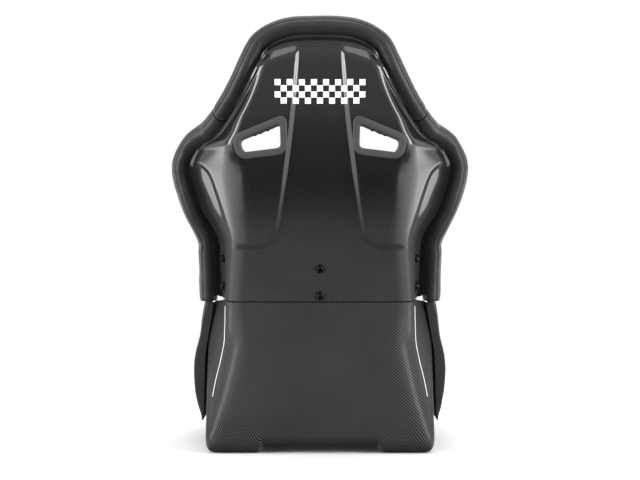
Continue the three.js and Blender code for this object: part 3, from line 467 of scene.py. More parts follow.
def loft_object(name: str, rings: Sheet) -> Object:
    """A closed tube of rings, capped by its end rings' middles."""
    middles = [sum(ring, Vector()) / len(ring) for ring in (rings[0], rings[-1])]
    capped = [[middles[0]] * len(rings[0]), *rings, [middles[1]] * len(rings[0])]
    made = sheet_object(name, capped, closed=True)
    turn_out(made)
    return made


def flatten(obj: Object) -> None:
    """Replaces the object's mesh by its evaluated one, and removes the modifiers."""
    graph = bpy.context.evaluated_depsgraph_get()
    mesh = bpy.data.meshes.new_from_object(
        obj.evaluated_get(graph), preserve_all_data_layers=True, depsgraph=graph)
    obj.modifiers.clear()
    old, obj.data = obj.data, mesh
    bpy.data.meshes.remove(old)


def modify(obj: Object, kind: str, **settings: object) -> bpy.types.Modifier:
    """Adds a modifier with its settings."""
    made = obj.modifiers.new(kind.title(), kind)
    for key, value in settings.items():
        setattr(made, key, value)
    return made


def rows_of(items: bpy.types.bpy_prop_collection, word: str) -> np.ndarray:
    """One vector of each item, as an array of rows."""
    flat = np.empty(len(items) * 3)
    items.foreach_get(word, flat)
    return flat.reshape(-1, 3)


def points_of(obj: Object) -> np.ndarray:
    """The object's vertices."""
    return rows_of(obj.data.vertices, "co")


def normals_of(obj: Object) -> np.ndarray:
    """The object's vertex normals."""
    return rows_of(obj.data.vertex_normals, "vector")


def move_points(obj: Object, points: np.ndarray) -> None:
    """Gives the object's vertices new places."""
    obj.data.vertices.foreach_set("co", points.ravel())
    obj.data.update()


def hand_over(obj: Object, slot: Slot, nodes: Sequence[str],
              material: Material | None = None) -> Object:
    """Dresses a finished piece and ties it to the CAD frame.

    Args:
        obj: The piece.
        slot: The material slot that it is logged under.
        nodes: The CAD nodes that it stands for.
        material: Its one material, unless it has its own already.

    Returns:
        The piece.
    """
    if material is not None:
        obj.data.materials.clear()
        obj.data.materials.append(material)
    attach(obj, BODY)
    if nodes:
        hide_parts(*nodes)
    LOG.info("%s: %d faces, %s", obj.name, len(obj.data.polygons), slot.value)
    return obj


# ---------------------------------------------------------------- shader expressions
def math_method(operation: str, swapped: bool = False) -> Callable[..., "Wire"]:
    """A method that adds a Math node on self and its arguments, or with the arguments first."""

    def method(self: "Wire", *others: "Wire | float") -> "Wire":
        """Adds the Math node."""
        values = (*others, self) if swapped else (self, *others)
        return self.graph.wire("ShaderNodeMath", {"operation": operation}, dict(enumerate(values)))

    return method


class Wire:
    """A shader value with arithmetic: each operator adds its Math node."""

    __add__ = __radd__ = math_method("ADD")
    __sub__ = math_method("SUBTRACT")
    __rsub__ = math_method("SUBTRACT", swapped=True)
    __mul__ = __rmul__ = math_method("MULTIPLY")
    __truediv__ = math_method("DIVIDE")
    __gt__ = math_method("GREATER_THAN")
    __lt__ = math_method("LESS_THAN")
    __abs__ = math_method("ABSOLUTE")
    floor = math_method("FLOOR")
    fract = math_method("FRACT")
    sin = math_method("SINE")
    cos = math_method("COSINE")

    def __init__(self, graph: "Graph", socket: Socket) -> None:
        """Wraps one output socket of a graph."""
        self.graph = graph
        self.socket = socket

    def ramp(self, low: float, high: float, start: float = 0.0, end: float = 1.0) -> "Wire":
        """A smooth step from start at low to end at high."""
        return self.graph.wire(
            "ShaderNodeMapRange", {"interpolation_type": "SMOOTHSTEP"},
            {"Value": self, "From Min": low, "From Max": high, "To Min": start, "To Max": end})


class Graph:
    """The node tree of one material or of the world."""

    def __init__(self, owner: Material | bpy.types.World) -> None:
        """Empties the owner's node tree."""
        owner.use_nodes = True
        self.tree = owner.node_tree
        self.tree.nodes.clear()

    def node(self, kind: str, settings: dict[str, object] | None = None,
             inputs: dict[str | int, object] | None = None) -> bpy.types.Node:
        """Adds any node.

        Args:
            kind: The node's type.
            settings: Its properties, which are set first.
            inputs: The value or Wire of each socket, by name or number.

        Returns:
            The new node.
        """
        made = self.tree.nodes.new(kind)
        for key, value in (settings or {}).items():
            setattr(made, key, value)
        for key, value in (inputs or {}).items():
            if isinstance(value, Wire):
                self.tree.links.new(value.socket, made.inputs[key])
            else:
                made.inputs[key].default_value = value
        return made

    def wire(self, kind: str, settings: dict[str, object] | None = None,
             inputs: dict[str | int, object] | None = None, output: str | int = 0) -> Wire:
        """Adds any node and gives one of its outputs."""
        return Wire(self, self.node(kind, settings, inputs).outputs[output])

    def place(self) -> tuple[Wire, Wire, Wire]:
        """The object coordinates, in metres."""
        spot = self.wire("ShaderNodeTexCoord", output="Object")
        parts = self.node("ShaderNodeSeparateXYZ", None, {0: spot})
        return tuple(Wire(self, parts.outputs[i]) for i in range(3))

    def noise(self, scale: float, detail: float = 3.0, roughness: float = 0.5) -> Wire:
        """Noise on the object coordinates, from 0 to 1."""
        spot = self.wire("ShaderNodeTexCoord", output="Object")
        return self.wire("ShaderNodeTexNoise", None,
                         {"Vector": spot, "Scale": scale, "Detail": detail, "Roughness": roughness})

    def mix(self, share: Wire | float, first: object, second: object) -> Wire:
        """A mix of two colours."""
        mixer = self.node("ShaderNodeMix", {"data_type": "RGBA"}, {0: share, 6: first, 7: second})
        return Wire(self, mixer.outputs[2])

    def bump(self, height: Wire, strength: float, distance: float) -> Wire:
        """The normal of a bumpy surface."""
        return self.wire("ShaderNodeBump", None, {
            "Height": height, "Strength": strength, "Distance": distance}, output="Normal")

    def surface(self, inputs: dict[str | int, object]) -> None:
        """Ends a material in one Principled shader with these sockets."""
        shader = self.wire("ShaderNodeBsdfPrincipled", None, inputs)
        self.node("ShaderNodeOutputMaterial", None, {"Surface": shader})


def grey(value: float, warm: float = 0.0) -> tuple[float, float, float, float]:
    """A grey colour, a little warmer or cooler."""
    return (value * (1 + warm), value, value * (1 - warm), 1.0)


# ---------------------------------------------------------------- finishes
@dataclass(frozen=True)
class Finish:
    """A finish that makes one material."""

    name: str

    def build(self) -> Material:
        """Makes the material."""
        material = bpy.data.materials.new(self.name)
        self.shade(Graph(material))
        return material

    def shade(self, graph: Graph) -> None:
        """Lays the material's nodes."""
        raise NotImplementedError


@dataclass(frozen=True)
class CarbonTwill(Finish):
    """Woven two-by-two twill under clear coat, with an optional painted checker strip, and painted
    light in its colour: a painted reflection on the over tows, painted shade at the tow edges, and
    a colour brighter low on the shell than up the back.
    """

    tow: float = 1.45 * MM
    # dark and bright are the two painted tones of the same black carbon tows: the twill pattern is
    # real, and the bright tone on the over tows is a painted reflection.
    dark: float = 0.003
    bright: float = 0.12
    fibre_gloss: float = 0.38
    fibre_specular: float = 0.12
    coat_roughness: float = 0.07
    matt_low: float = 0.385
    matt_high: float = 0.53
    checker_cell: float = 11.2 * MM
    checker_half: float = 84 * MM
    checker_foot: float = 667 * MM
    checker_rows: int = 4
    checkered: bool = False

    def shade(self, graph: Graph) -> None:
        """Lays the nodes; they read the shell's own map of metres along the weave."""
        weave = graph.wire("ShaderNodeUVMap", {"uv_map": "weave"})
        parts = graph.node("ShaderNodeSeparateXYZ", None, {0: weave})
        across, along = (Wire(graph, parts.outputs[i]) / self.tow for i in range(2))
        over = ((across.floor() + along.floor()) / 4).fract() < 0.5
        # The crown, each tow's rounded profile, shapes the bump and also paints shade, darker
        # towards each tow's edges.
        crown_warp = 1 - abs(across.fract() * 2 - 1)
        crown_weft = 1 - abs(along.fract() * 2 - 1)
        crown = over * crown_warp + (1 - over) * crown_weft
        x, _, z = graph.place()
        # This mask is 1 low on the shell and 0 up the back. It makes the lower shell dull, with
        # less coat and rougher, and it also drives painted light there.
        matt_and_painted_light = z.ramp(self.matt_low, self.matt_high, 1.0, 0.0)
        cloud = graph.noise(9.0, 2.0)
        # Painted light: besides the painted tow-edge shade and a random cloud tone, the colour is
        # scaled about 2.6 times brighter low on the shell than up the back.
        light = (0.55 + 0.45 * crown) * (0.75 + 0.5 * cloud) * (0.25 + 0.40 * matt_and_painted_light)
        # The over tows take the bright tone, a painted reflection; the under tows take the dark
        # one.
        fibre_and_painted_reflection = graph.mix(over, grey(self.dark), grey(self.bright, -0.02))
        lit = graph.wire("ShaderNodeVectorMath", {"operation": "SCALE"}, {0: fibre_and_painted_reflection, "Scale": light})
        # Painted light: the lower shell's colour is also lifted a little towards grey.
        base: Wire = graph.mix(matt_and_painted_light * 0.06, lit, grey(0.07))
        rough: Wire = self.fibre_gloss + 0.12 * matt_and_painted_light
        coat: Wire = 1 - 0.9 * matt_and_painted_light
        if self.checkered:
            column = (x / self.checker_cell + 0.5).floor()
            row = ((z - self.checker_foot) / self.checker_cell).floor()
            inside = (abs(x) < self.checker_half) * (row > -0.5) * (row < self.checker_rows - 0.5)
            paint = inside * (((column + row) / 2).fract() < 0.25)
            base = graph.mix(paint, base, grey(0.86))
            rough = rough + paint * 0.1
        metal = 0.35 * over if not self.checkered else 0.35 * over * (1 - paint)
        graph.surface({
            "Base Color": base, "Roughness": rough, "Metallic": metal, "Coat Weight": coat,
            "Coat Roughness": self.coat_roughness, "Coat IOR": 1.5,
            "Specular IOR Level": self.fibre_specular,
            "Normal": graph.bump(crown, 0.12, 0.15 * MM),
        })


@dataclass(frozen=True)
class Leatherette(Finish):
    """Coated fabric with a fine pebble grain."""

    tone: float = 0.015
    roughness: float = 0.44
    grain: float = 1100.0
    grain_depth: float = 0.25 * MM

    def shade(self, graph: Graph) -> None:
        """Lays the nodes."""
        spot = graph.wire("ShaderNodeTexCoord", output="Object")
        cells = graph.wire("ShaderNodeTexVoronoi", {"feature": "SMOOTH_F1"},
                           {"Vector": spot, "Scale": self.grain})
        cloud = graph.noise(14.0, 4.0)
        worn = graph.noise(55.0, 3.0)
        base = graph.mix(cloud, grey(self.tone * 0.75, -0.02), grey(self.tone * 1.3, -0.02))
        graph.surface({
            "Base Color": base, "Roughness": self.roughness - 0.08 + 0.16 * worn,
            "Specular IOR Level": 0.42, "Sheen Weight": 0.08, "Sheen Roughness": 0.5,
            "Normal": graph.bump(cells + 0.5 * worn, 0.35, self.grain_depth),
        })


@dataclass(frozen=True)
class SeatFabric(Finish):
    """A coarse knitted cover cloth: a lattice of small open cells."""

    tone: float = 0.020
    pitch: float = 2.6 * MM

    def shade(self, graph: Graph) -> None:
        """Lays the nodes."""
        x, y, z = (axis * (2 * math.pi / self.pitch) for axis in graph.place())
        lattice = abs(x.sin() * y.cos() + y.sin() * z.cos() + z.sin() * x.cos())
        hole = lattice.ramp(0.25, 0.9, 1.0, 0.0)
        cloud = graph.noise(30.0, 4.0)
        base = graph.mix(hole, grey(self.tone * 1.9, -0.03), grey(self.tone * 0.35))
        shade = graph.wire("ShaderNodeVectorMath", {"operation": "SCALE"},
                           {0: base, "Scale": 0.7 + 0.6 * cloud})
        graph.surface({
            "Base Color": shade, "Roughness": 0.82 + 0.1 * hole, "Specular IOR Level": 0.25,
            "Sheen Weight": 0.35, "Sheen Roughness": 0.45, "Sheen Tint": grey(0.55),
            "Normal": graph.bump(1 - hole, 0.6, 0.5 * MM),
        })


@dataclass(frozen=True)
class Moulding(Finish):
    """Fine-grained moulded plastic."""

    tone: float = 0.045
    roughness: float = 0.46

    def shade(self, graph: Graph) -> None:
        """Lays the nodes."""
        grain = graph.noise(1600.0, 2.0)
        cloud = graph.noise(25.0, 3.0)
        graph.surface({
            "Base Color": graph.mix(cloud, grey(self.tone * 0.8), grey(self.tone * 1.2)),
            "Roughness": self.roughness + 0.1 * cloud, "Specular IOR Level": 0.4,
            "Normal": graph.bump(grain, 0.25, 0.12 * MM),
        })


@dataclass(frozen=True)
class Metal(Finish):
    """Plated or blackened steel with fine turning marks and rubbed spots."""

    tone: float
    rubbed: float
    roughness: float = 0.32

    def shade(self, graph: Graph) -> None:
        """Lays the nodes."""
        marks = graph.noise(2400.0, 2.0)
        spots = graph.noise(160.0, 4.0).ramp(0.52, 0.7)
        graph.surface({
            "Base Color": graph.mix(spots, grey(self.tone), grey(self.rubbed)), "Metallic": 0.9,
            "Roughness": self.roughness + 0.15 * marks,
            "Normal": graph.bump(marks, 0.15, 0.08 * MM),
        })


@dataclass(frozen=True)
class Plain(Finish):
    """A dull yarn, paint or tape with a fibrous surface."""

    tone: float
    roughness: float
    fibres: float = 1500.0
    depth: float = 0.3 * MM

    def shade(self, graph: Graph) -> None:
        """Lays the nodes."""
        fuzz = graph.noise(self.fibres, 3.0, 0.7)
        graph.surface({
            "Base Color": graph.mix(fuzz, grey(self.tone * 0.8), grey(self.tone * 1.15)),
            "Roughness": self.roughness - 0.05 + 0.1 * fuzz,
            "Normal": graph.bump(fuzz, 0.4, self.depth),
        })


def built(finish: Finish) -> Material:
    """A field that makes its material when the set of finishes is made."""
    return field(default_factory=finish.build)


@dataclass
class Finishes:
    """The seat's materials, made once."""

    carbon: Material = built(CarbonTwill("carbon_twill"))
    carbon_checkered: Material = built(
        CarbonTwill("carbon_twill_checkered", checkered=True))
    leather: Material = built(Leatherette("black_leatherette"))
    fabric: Material = built(SeatFabric("seat_fabric"))
    piping: Material = built(Leatherette("piping_leatherette", 0.012, 0.5, 1800.0))
    plastic: Material = built(Moulding("bezel_plastic"))
    black: Material = built(Metal("black_oxide", 0.012, 0.05))
    zinc: Material = built(Metal("zinc_plate", 0.5, 0.65))
    thread: Material = built(Plain("stitch_thread", 0.045, 0.7))
    paint: Material = built(Plain("white_line_paint", 0.8, 0.45, 300.0, 0.02 * MM))
    tape: Material = built(Plain("hook_and_loop_tape", 0.012, 0.92, 900.0, 0.8 * MM))


# ---------------------------------------------------------------- repeated pieces
class PlacingTree:
    """Geometry Nodes that put copies of one shape on a mesh's points or along its edges."""

    def __init__(self, name: str, along: bool) -> None:
        """Builds the tree.

        Args:
            name: The tree's name.
            along: Whether the copies follow the edges at a pitch, not the points.
        """
        self.tree = bpy.data.node_groups.new(name, "GeometryNodeTree")
        face = self.tree.interface
        face.new_socket("Geometry", in_out="INPUT", socket_type="NodeSocketGeometry")
        self.sockets = {
            word: face.new_socket(word, in_out="INPUT", socket_type=kind).identifier
            for word, kind in (("Shape", "NodeSocketObject"), ("Pitch", "NodeSocketFloat"),
                               ("Size", "NodeSocketFloat"), ("Finish", "NodeSocketMaterial"))}
        face.new_socket("Geometry", in_out="OUTPUT", socket_type="NodeSocketGeometry")
        start = self.tree.nodes.new("NodeGroupInput")
        end = self.tree.nodes.new("NodeGroupOutput")
        axis = self._attribute("axis")
        if along:
            curve = self._node("GeometryNodeMeshToCurve", {"Mesh": start.outputs["Geometry"]})
            even = self._node("GeometryNodeResampleCurve", {"Curve": curve.outputs[0]},
                              {"mode": "LENGTH"})
            self.tree.links.new(start.outputs["Pitch"], even.inputs["Length"])
            spots, run = even.outputs[0], self.tree.nodes.new("GeometryNodeInputTangent").outputs[0]
        else:
            spots, run = start.outputs["Geometry"], self._attribute("run")
        stand = self._node("FunctionNodeAlignRotationToVector", {"Vector": axis}, {"axis": "Z"})
        turn = self._node("FunctionNodeAlignRotationToVector",
                          {"Rotation": stand.outputs[0], "Vector": run},
                          {"axis": "Y", "pivot_axis": "Z"})
        shape = self._node("GeometryNodeObjectInfo", {"Object": start.outputs["Shape"]})
        copies = self._node("GeometryNodeInstanceOnPoints", {
            "Points": spots, "Instance": shape.outputs["Geometry"], "Rotation": turn.outputs[0],
            "Scale": start.outputs["Size"]})
        real = self._node("GeometryNodeRealizeInstances", {"Geometry": copies.outputs[0]})
        done = self._node("GeometryNodeSetMaterial", {
            "Geometry": real.outputs[0], "Material": start.outputs["Finish"]})
        self.tree.links.new(done.outputs[0], end.inputs[0])

    def _node(self, kind: str, links: dict[str, Socket],
              settings: dict[str, object] | None = None) -> bpy.types.Node:
        """Adds a node with its settings and links."""
        made = self.tree.nodes.new(kind)
        for key, value in (settings or {}).items():
            setattr(made, key, value)
        for key, socket in links.items():
            self.tree.links.new(socket, made.inputs[key])
        return made

    def _attribute(self, name: str) -> Socket:
        """A named vector of the points."""
        made = self._node("GeometryNodeInputNamedAttribute", {}, {"data_type": "FLOAT_VECTOR"})
        made.inputs["Name"].default_value = name
        return made.outputs["Attribute"]

    def make(self, name: str, carrier: Object, shape: Object,
             finish: Material, pitch: float = 0.0) -> Object:
        """Runs the tree on a carrier mesh.

        Args:
            name: The new piece's name.
            carrier: The mesh whose points or edges carry the copies; it is used up.
            shape: The one shape; it is used up.
            finish: The copies' material.
            pitch: The distance between copies along the edges, in metres.

        Returns:
            The copies as one plain mesh.
        """
        carrier.name = name
        made = modify(carrier, "NODES", node_group=self.tree)
        for word, value in (("Shape", shape), ("Pitch", pitch), ("Size", 1.0), ("Finish", finish)):
            made[self.sockets[word]] = value
        flatten(carrier)
        bpy.data.objects.remove(shape)
        return carrier


def carrier_mesh(name: str, places: Sequence[Vector], axes: Sequence[Vector],
                 runs: Sequence[Vector] | None = None,
                 breaks: Sequence[int] = ()) -> Object:
    """Points with the directions that their copies take.

    Args:
        name: The mesh's name.
        places: The points, in metres.
        axes: The direction that each copy's Z points in.
        runs: The direction of each copy's Y, or None for a path that gives it.
        breaks: The numbers of the points where a new path starts.

    Returns:
        The carrier object.
    """
    edges = []
    if runs is None:
        edges = [(i, i + 1) for i in range(len(places) - 1) if i + 1 not in breaks]
    mesh = bpy.data.meshes.new(name)
    mesh.from_pydata([tuple(p) for p in places], edges, [])
    for word, vectors in (("axis", axes), ("run", runs)):
        if vectors is not None:
            data = mesh.attributes.new(word, "FLOAT_VECTOR", "POINT")
            data.data.foreach_set("vector", [c for v in vectors for c in v])
    return add_object(name, mesh)


def round_ring(radius: float, height: float, sides: int) -> list[Vector]:
    """A circle about Z, in metres, from a radius and height in millimetres."""
    return [Vector((radius * math.cos(a), radius * math.sin(a), height)) * MM
            for a in turns(sides)]


def hard_object(name: str, rings: Sheet) -> Object:
    """A closed shape of rings with hard edges."""
    made = sheet_object(name, rings, closed=True)
    turn_out(made)
    made.data.set_sharp_from_angle(angle=HARD_EDGE)
    return made


def bolt_object(name: str, profile: Sequence[Pair], sides: int, hexagon: float,
                socket_floor: float) -> Object:
    """A turned bolt about Z, in metres, with a hexagon socket at its top.

    Args:
        name: The object's name.
        profile: (radius, height) pairs in millimetres, from the bottom of the axis to the top.
        sides: How many faces go round.
        hexagon: The socket's half width across corners.
        socket_floor: The height of the socket's floor.

    Returns:
        The closed shape.
    """
    rings = [round_ring(radius, height, sides) for radius, height in profile]
    flat = hexagon * math.cos(math.pi / 6)
    for height in (profile[-1][1], socket_floor):
        ring = []
        for a in turns(sides):
            reach = flat / math.cos((a % (math.pi / 3)) - math.pi / 6)
            ring.append(Vector((reach * math.cos(a), reach * math.sin(a), height)) * MM)
        rings.append(ring)
    rings.append([Vector((0, 0, rings[-1][0].z))] * sides)
    return hard_object(name, rings)


def project(points: Sequence[Vector], target: Object, towards: Vector,
            lift: float) -> tuple[list[Vector], list[Vector]]:
    """Drops points onto a mesh.

    Args:
        points: Where the rays start, in metres.
        target: The mesh that they land on.
        towards: The direction of the rays.
        lift: How far off the surface the points end.

    Returns:
        The points that landed, and the surface's normals there.
    """
    tree = BVHTree.FromObject(target, bpy.context.evaluated_depsgraph_get())
    landed = [(place + normal * lift, normal) for place, normal, _, _ in
              (tree.ray_cast(p, towards) for p in points) if place is not None]
    return [p for p, _ in landed], [n for _, n in landed]


# ---------------------------------------------------------------- shells
@dataclass
class Shells:
    """The two moulded shells, with their rolled rims, and the painted side lines."""

    finishes: Finishes
    wall: float = 4.0
    seam_gap: float = 3.0
    nest_gap: float = 1.2
    flange_height: float = 96.0
    fine_columns: int = 96
    back_rows: int = 170
    base_rows: int = 190
    rim_bead: float = 3.0
    rim_band: float = 9.0
    edge_round: float = 1.2 * MM
    line_width: float = 1.5
    line_lift: float = 0.35
    line_path: tuple[Pair, ...] = (
        (186, 283), (186, 222), (193, 180), (203, 140), (209, 108))

    def _skin(self, column: float, v: float) -> tuple[Vector, float]:
        """A point of the back with its panels and rim bead, and how far along its section."""
        z = BACK.z(v)
        section = BACK.section(z)
        share = BACK.column_share(section, column, z)
        p = BACK.place(section, share, v)
        p.y -= BACK.panel_rise * BACK.panel_mask(p.x, p.z)
        along = section.rim - section.crease
        out = Vector((math.copysign(along.y, share), -along.x, 0)).normalized()
        from_rim = (1 - abs(share)) * section.length
        from_edge = min(from_rim, (1 - v) * (BACK.corner - BACK.seam))
        bead = self.rim_bead * smooth((self.rim_band - from_edge) / (self.rim_band * 0.5))
        return p + out * bead * smooth((z - BACK.seam) / 60), share * section.length

    def _finish(self, obj: Object, maps: Sequence[Pair],
                holes: Sequence["Slot2D"]) -> None:
        """Turns a skin's sheet into a wall with rounded edges and the weave's map.

        Args:
            obj: The sheet.
            maps: Each vertex's place along the weave, in millimetres.
            holes: The openings to cut.
        """
        mesh = obj.data
        layer = mesh.uv_layers.new(name="weave")
        for loop in mesh.loops:
            layer.data[loop.index].uv = Vector(maps[loop.vertex_index]) * MM
        work = bmesh.new()
        work.from_mesh(mesh)
        for hole in holes:
            hole.cut(work)
        middle = min(
            work.faces, key=lambda f: abs(f.calc_center_median().x) - f.calc_center_median().z)
        if middle.normal.y > 0:
            bmesh.ops.reverse_faces(work, faces=work.faces)
        work.to_mesh(mesh)
        work.free()
        modify(obj, "SOLIDIFY", thickness=self.wall * MM, offset=-1.0, use_even_offset=True,
               thickness_clamp=1.2)
        modify(obj, "BEVEL", width=self.edge_round, segments=3, limit_method="ANGLE",
               angle_limit=math.radians(55))
        flatten(obj)
        obj.data.shade_smooth()

    def build_back(self, holes: Sequence["Slot2D"]) -> Object:
        """Makes the back shell with its harness openings."""
        columns = spread(-1, 1, 2 * self.fine_columns)
        rows, maps = [], []
        for v in spread(BACK.v(BACK.seam + self.seam_gap), 1, self.back_rows):
            line = [self._skin(c, v) for c in columns]
            rows.append([placed(p) for p, _ in line])
            maps += [(along, p.z) for p, along in line]
        shell = sheet_object("back_shell_moulding", rows)
        self._finish(shell, maps, holes)
        return hand_over(shell, Slot.SHELL, ["back_shell"], self.finishes.carbon_checkered)

    def _base_point(self, column: float, row: float) -> tuple[Vector, float]:
        """A point of the base's skin, or of the flange that nests in the back shell."""
        if row < 0:
            depth = self.wall + self.nest_gap
            v = -row * self.flange_height / (BACK.corner - BACK.seam)
            section = BACK.section(BACK.z(v), depth)
            share = BASE.column_share(section, column)
            return BACK.place(section, share, v), share * section.length
        section = BASE.section(row)
        share = BASE.column_share(section, column)
        p = BASE.place(section, share)
        from_rim = (1 - abs(share)) * section.length
        near_rim = smooth((self.rim_band - from_rim) / 5)
        p.x += math.copysign(self.rim_bead, share) * near_rim * smooth(row / 0.1)
        return p, share * section.length

    def build_base(self) -> Object:
        """Makes the base shell."""
        columns = spread(-1, 1, 2 * self.fine_columns)
        rows, maps = [], []
        travel, last = BACK.seam, None
        for s in [*spread(-1, -0.02, 16), *spread(0, 1, self.base_rows)]:
            line = [self._base_point(c, s) for c in columns]
            middle = line[len(line) // 2][0]
            travel -= (middle - last).length if last is not None else -self.flange_height
            last = middle
            rows.append([placed(p) for p, _ in line])
            maps += [(along, travel) for _, along in line]
        shell = sheet_object("base_shell_moulding", rows)
        self._finish(shell, maps, [])
        return hand_over(shell, Slot.SHELL, ["base_shell"], self.finishes.carbon)

    def build_line(self, side: Side) -> Object:
        """Makes the painted line down one side wall of the base."""
        path = Profile(*((-z, x) for x, z in self.line_path))
        rows = []
        for z in spread(self.line_path[0][1], self.line_path[-1][1], 60):
            row = []
            for offset in (-0.5, 0.5):
                x = path(-z) + offset * self.line_width
                s, share = BASE.side_place(x, z)
                p = BASE.place(BASE.section(s), share)
                p += Vector((self.line_lift, -self.line_lift, 0))
                row.append(placed(Vector((p.x * side.value, p.y, p.z))))
            rows.append(row)
        line = sheet_object(f"side_line_{side.word}", rows)
        modify(line, "SOLIDIFY", thickness=0.25 * MM, offset=0.0)
        flatten(line)
        turn_out(line)
        return hand_over(line, Slot.SHELL, [], self.finishes.paint)

    def build(self, holes: Sequence["Slot2D"]) -> None:
        """Makes both shells and the painted lines."""
        self.build_back(holes)
        self.build_base()
        for side in Side:
            self.build_line(side)


# ---------------------------------------------------------------- harness slots
@dataclass
class Slot2D:
    """A harness opening: its outline in the rear view and the plane its flanges lie in."""

    side: Side
    corners: tuple[Pair, ...] = (
        (74.5, 631), (150, 600.5), (144, 577.5), (73.5, 586))
    radius: float = 8.0
    steps: int = 8

    def __post_init__(self) -> None:
        """Finds the plane of the raised panel at the slot."""
        x, z = (sum(c[i] for c in self.corners) / 4 for i in (0, 1))
        u, v = BACK.section(z).share_at(x), BACK.v(z)
        out = BACK.outward(u, v)
        origin = BACK.point(u, v)
        self.across_slope, self.up_slope = -out.x / out.y, -out.z / out.y
        slope = origin.x * self.across_slope
        self.start = origin.y - BACK.panel_rise - slope - origin.z * self.up_slope

    def outline(self, grow: float) -> list[Vector]:
        """The rounded outline moved out by grow, as (x, 0, z) points on the right side."""
        corners = [Vector((x, 0, z)) for x, z in self.corners]
        centre = sum(corners, Vector()) / len(corners)
        count = len(corners)

        def normal(a: Vector, b: Vector) -> Vector:
            """The outward normal of one side of the outline."""
            run = (b - a).normalized()
            out = Vector((run.z, 0, -run.x))
            return -out if out.dot(a - centre) < 0 else out

        moved = []
        for i, p in enumerate(corners):
            before, after = normal(corners[i - 1], p), normal(p, corners[(i + 1) % count])
            moved.append(p + (before + after) * (grow / (1 + before.dot(after))))
        radius = self.radius + max(grow, 0)
        points = []
        for i, p in enumerate(moved):
            start = p + (moved[i - 1] - p).normalized() * radius
            end = p + (moved[(i + 1) % count] - p).normalized() * radius
            points += [start.lerp(p, t).lerp(p.lerp(end, t), t) for t in spread(0, 1, self.steps)]
        return points

    def at(self, p: Vector, depth: float) -> Vector:
        """An outline point in the CAD frame, depth behind the panel's plane."""
        y = self.start + self.across_slope * p.x + self.up_slope * p.z - depth
        return placed(Vector((p.x * self.side.value, y, p.z)))

    def ring(self, name: str, profile: Sequence[Pair]) -> Object:
        """Sweeps a closed profile of (grow, depth) pairs round the outline."""
        loops = [[self.at(p, depth) for p in self.outline(grow)] for grow, depth in profile]
        made = sheet_object(name, [*loops, loops[0]], closed=True)
        turn_out(made)
        return made

    def cut(self, work: bmesh.types.BMesh, grow: float = 2.6) -> None:
        """Opens a skin: removes the faces inside the outline and draws the edge onto it."""
        border = [self.at(p, 0) for p in self.outline(grow)]
        flat = [(p.x, p.z) for p in border]

        def inside(x: float, z: float) -> bool:
            """Whether a place in the rear view is inside the outline."""
            hit = False
            for (ax, az), (bx, bz) in zip(flat, flat[1:] + flat[:1]):
                if (az > z) != (bz > z) and x < ax + (z - az) * (bx - ax) / (bz - az):
                    hit = not hit
            return hit

        gone = [f for f in work.faces if inside(f.calc_center_median().x, f.calc_center_median().z)]
        near = {v for f in gone for v in f.verts}
        bmesh.ops.delete(work, geom=gone, context="FACES")
        for vert in near:
            if not vert.is_valid or not vert.is_boundary:
                continue
            best = None
            for a, b in zip(border, border[1:] + border[:1]):
                run = Vector((b.x - a.x, 0, b.z - a.z))
                if run.length < 1e-7:
                    continue
                reach = Vector((vert.co.x - a.x, 0, vert.co.z - a.z)).dot(run)
                spot = Vector((a.x, 0, a.z)) + run * clamp(reach / run.length_squared, 0, 1)
                gap = (spot.x - vert.co.x) ** 2 + (spot.z - vert.co.z) ** 2
                if best is None or gap < best[0]:
                    best = (gap, spot)
            vert.co.x, vert.co.z = best[1].x, best[1].z


@dataclass
class HarnessSlots:
    """The moulded bezels that line the two harness openings, front and rear."""

    finishes: Finishes
    flange: float = 13.0
    thickness: float = 2.4
    wall: float = 2.2
    seat: float = 2.0
    depth: float = 56.0
    split_gap: float = 0.4
    slots: dict[Side, Slot2D] = field(
        default_factory=lambda: {side: Slot2D(side) for side in Side})

    def build(self) -> None:
        """Makes the four bezels."""
        face = self.seat + self.thickness
        split = self.depth / 2
        flange, wall = self.flange, self.wall
        rear = [(0, -split), (0, face - 1.6), (0.5, face - 0.5), (1.6, face), (flange - 2.2, face),
                (flange - 0.7, face - 0.7), (flange, face - 2.0), (flange, 0.0),
                (flange - 1.2, 0.0), (flange - 1.6, self.seat), (wall, self.seat), (wall, -split)]
        front_split = -split - self.split_gap
        inside = -self.depth - self.seat
        front = [(0, front_split), (wall, front_split), (wall, inside), (flange, inside),
                 (flange, inside - 1.4), (flange - 1.4, inside - self.thickness),
                 (1.8, inside - self.thickness), (0, inside - self.thickness + 1.4)]
        for side, slot in self.slots.items():
            for place, profile in (("rear", rear), ("front", front)):
                bezel = slot.ring(f"slot_bezel_{place}_{side.word}", profile)
                bezel.data.set_sharp_from_angle(angle=math.radians(50))
                hand_over(bezel, Slot.BEZEL, [f"harness_bezel_{place}_{side.word}"],
                          self.finishes.plastic)


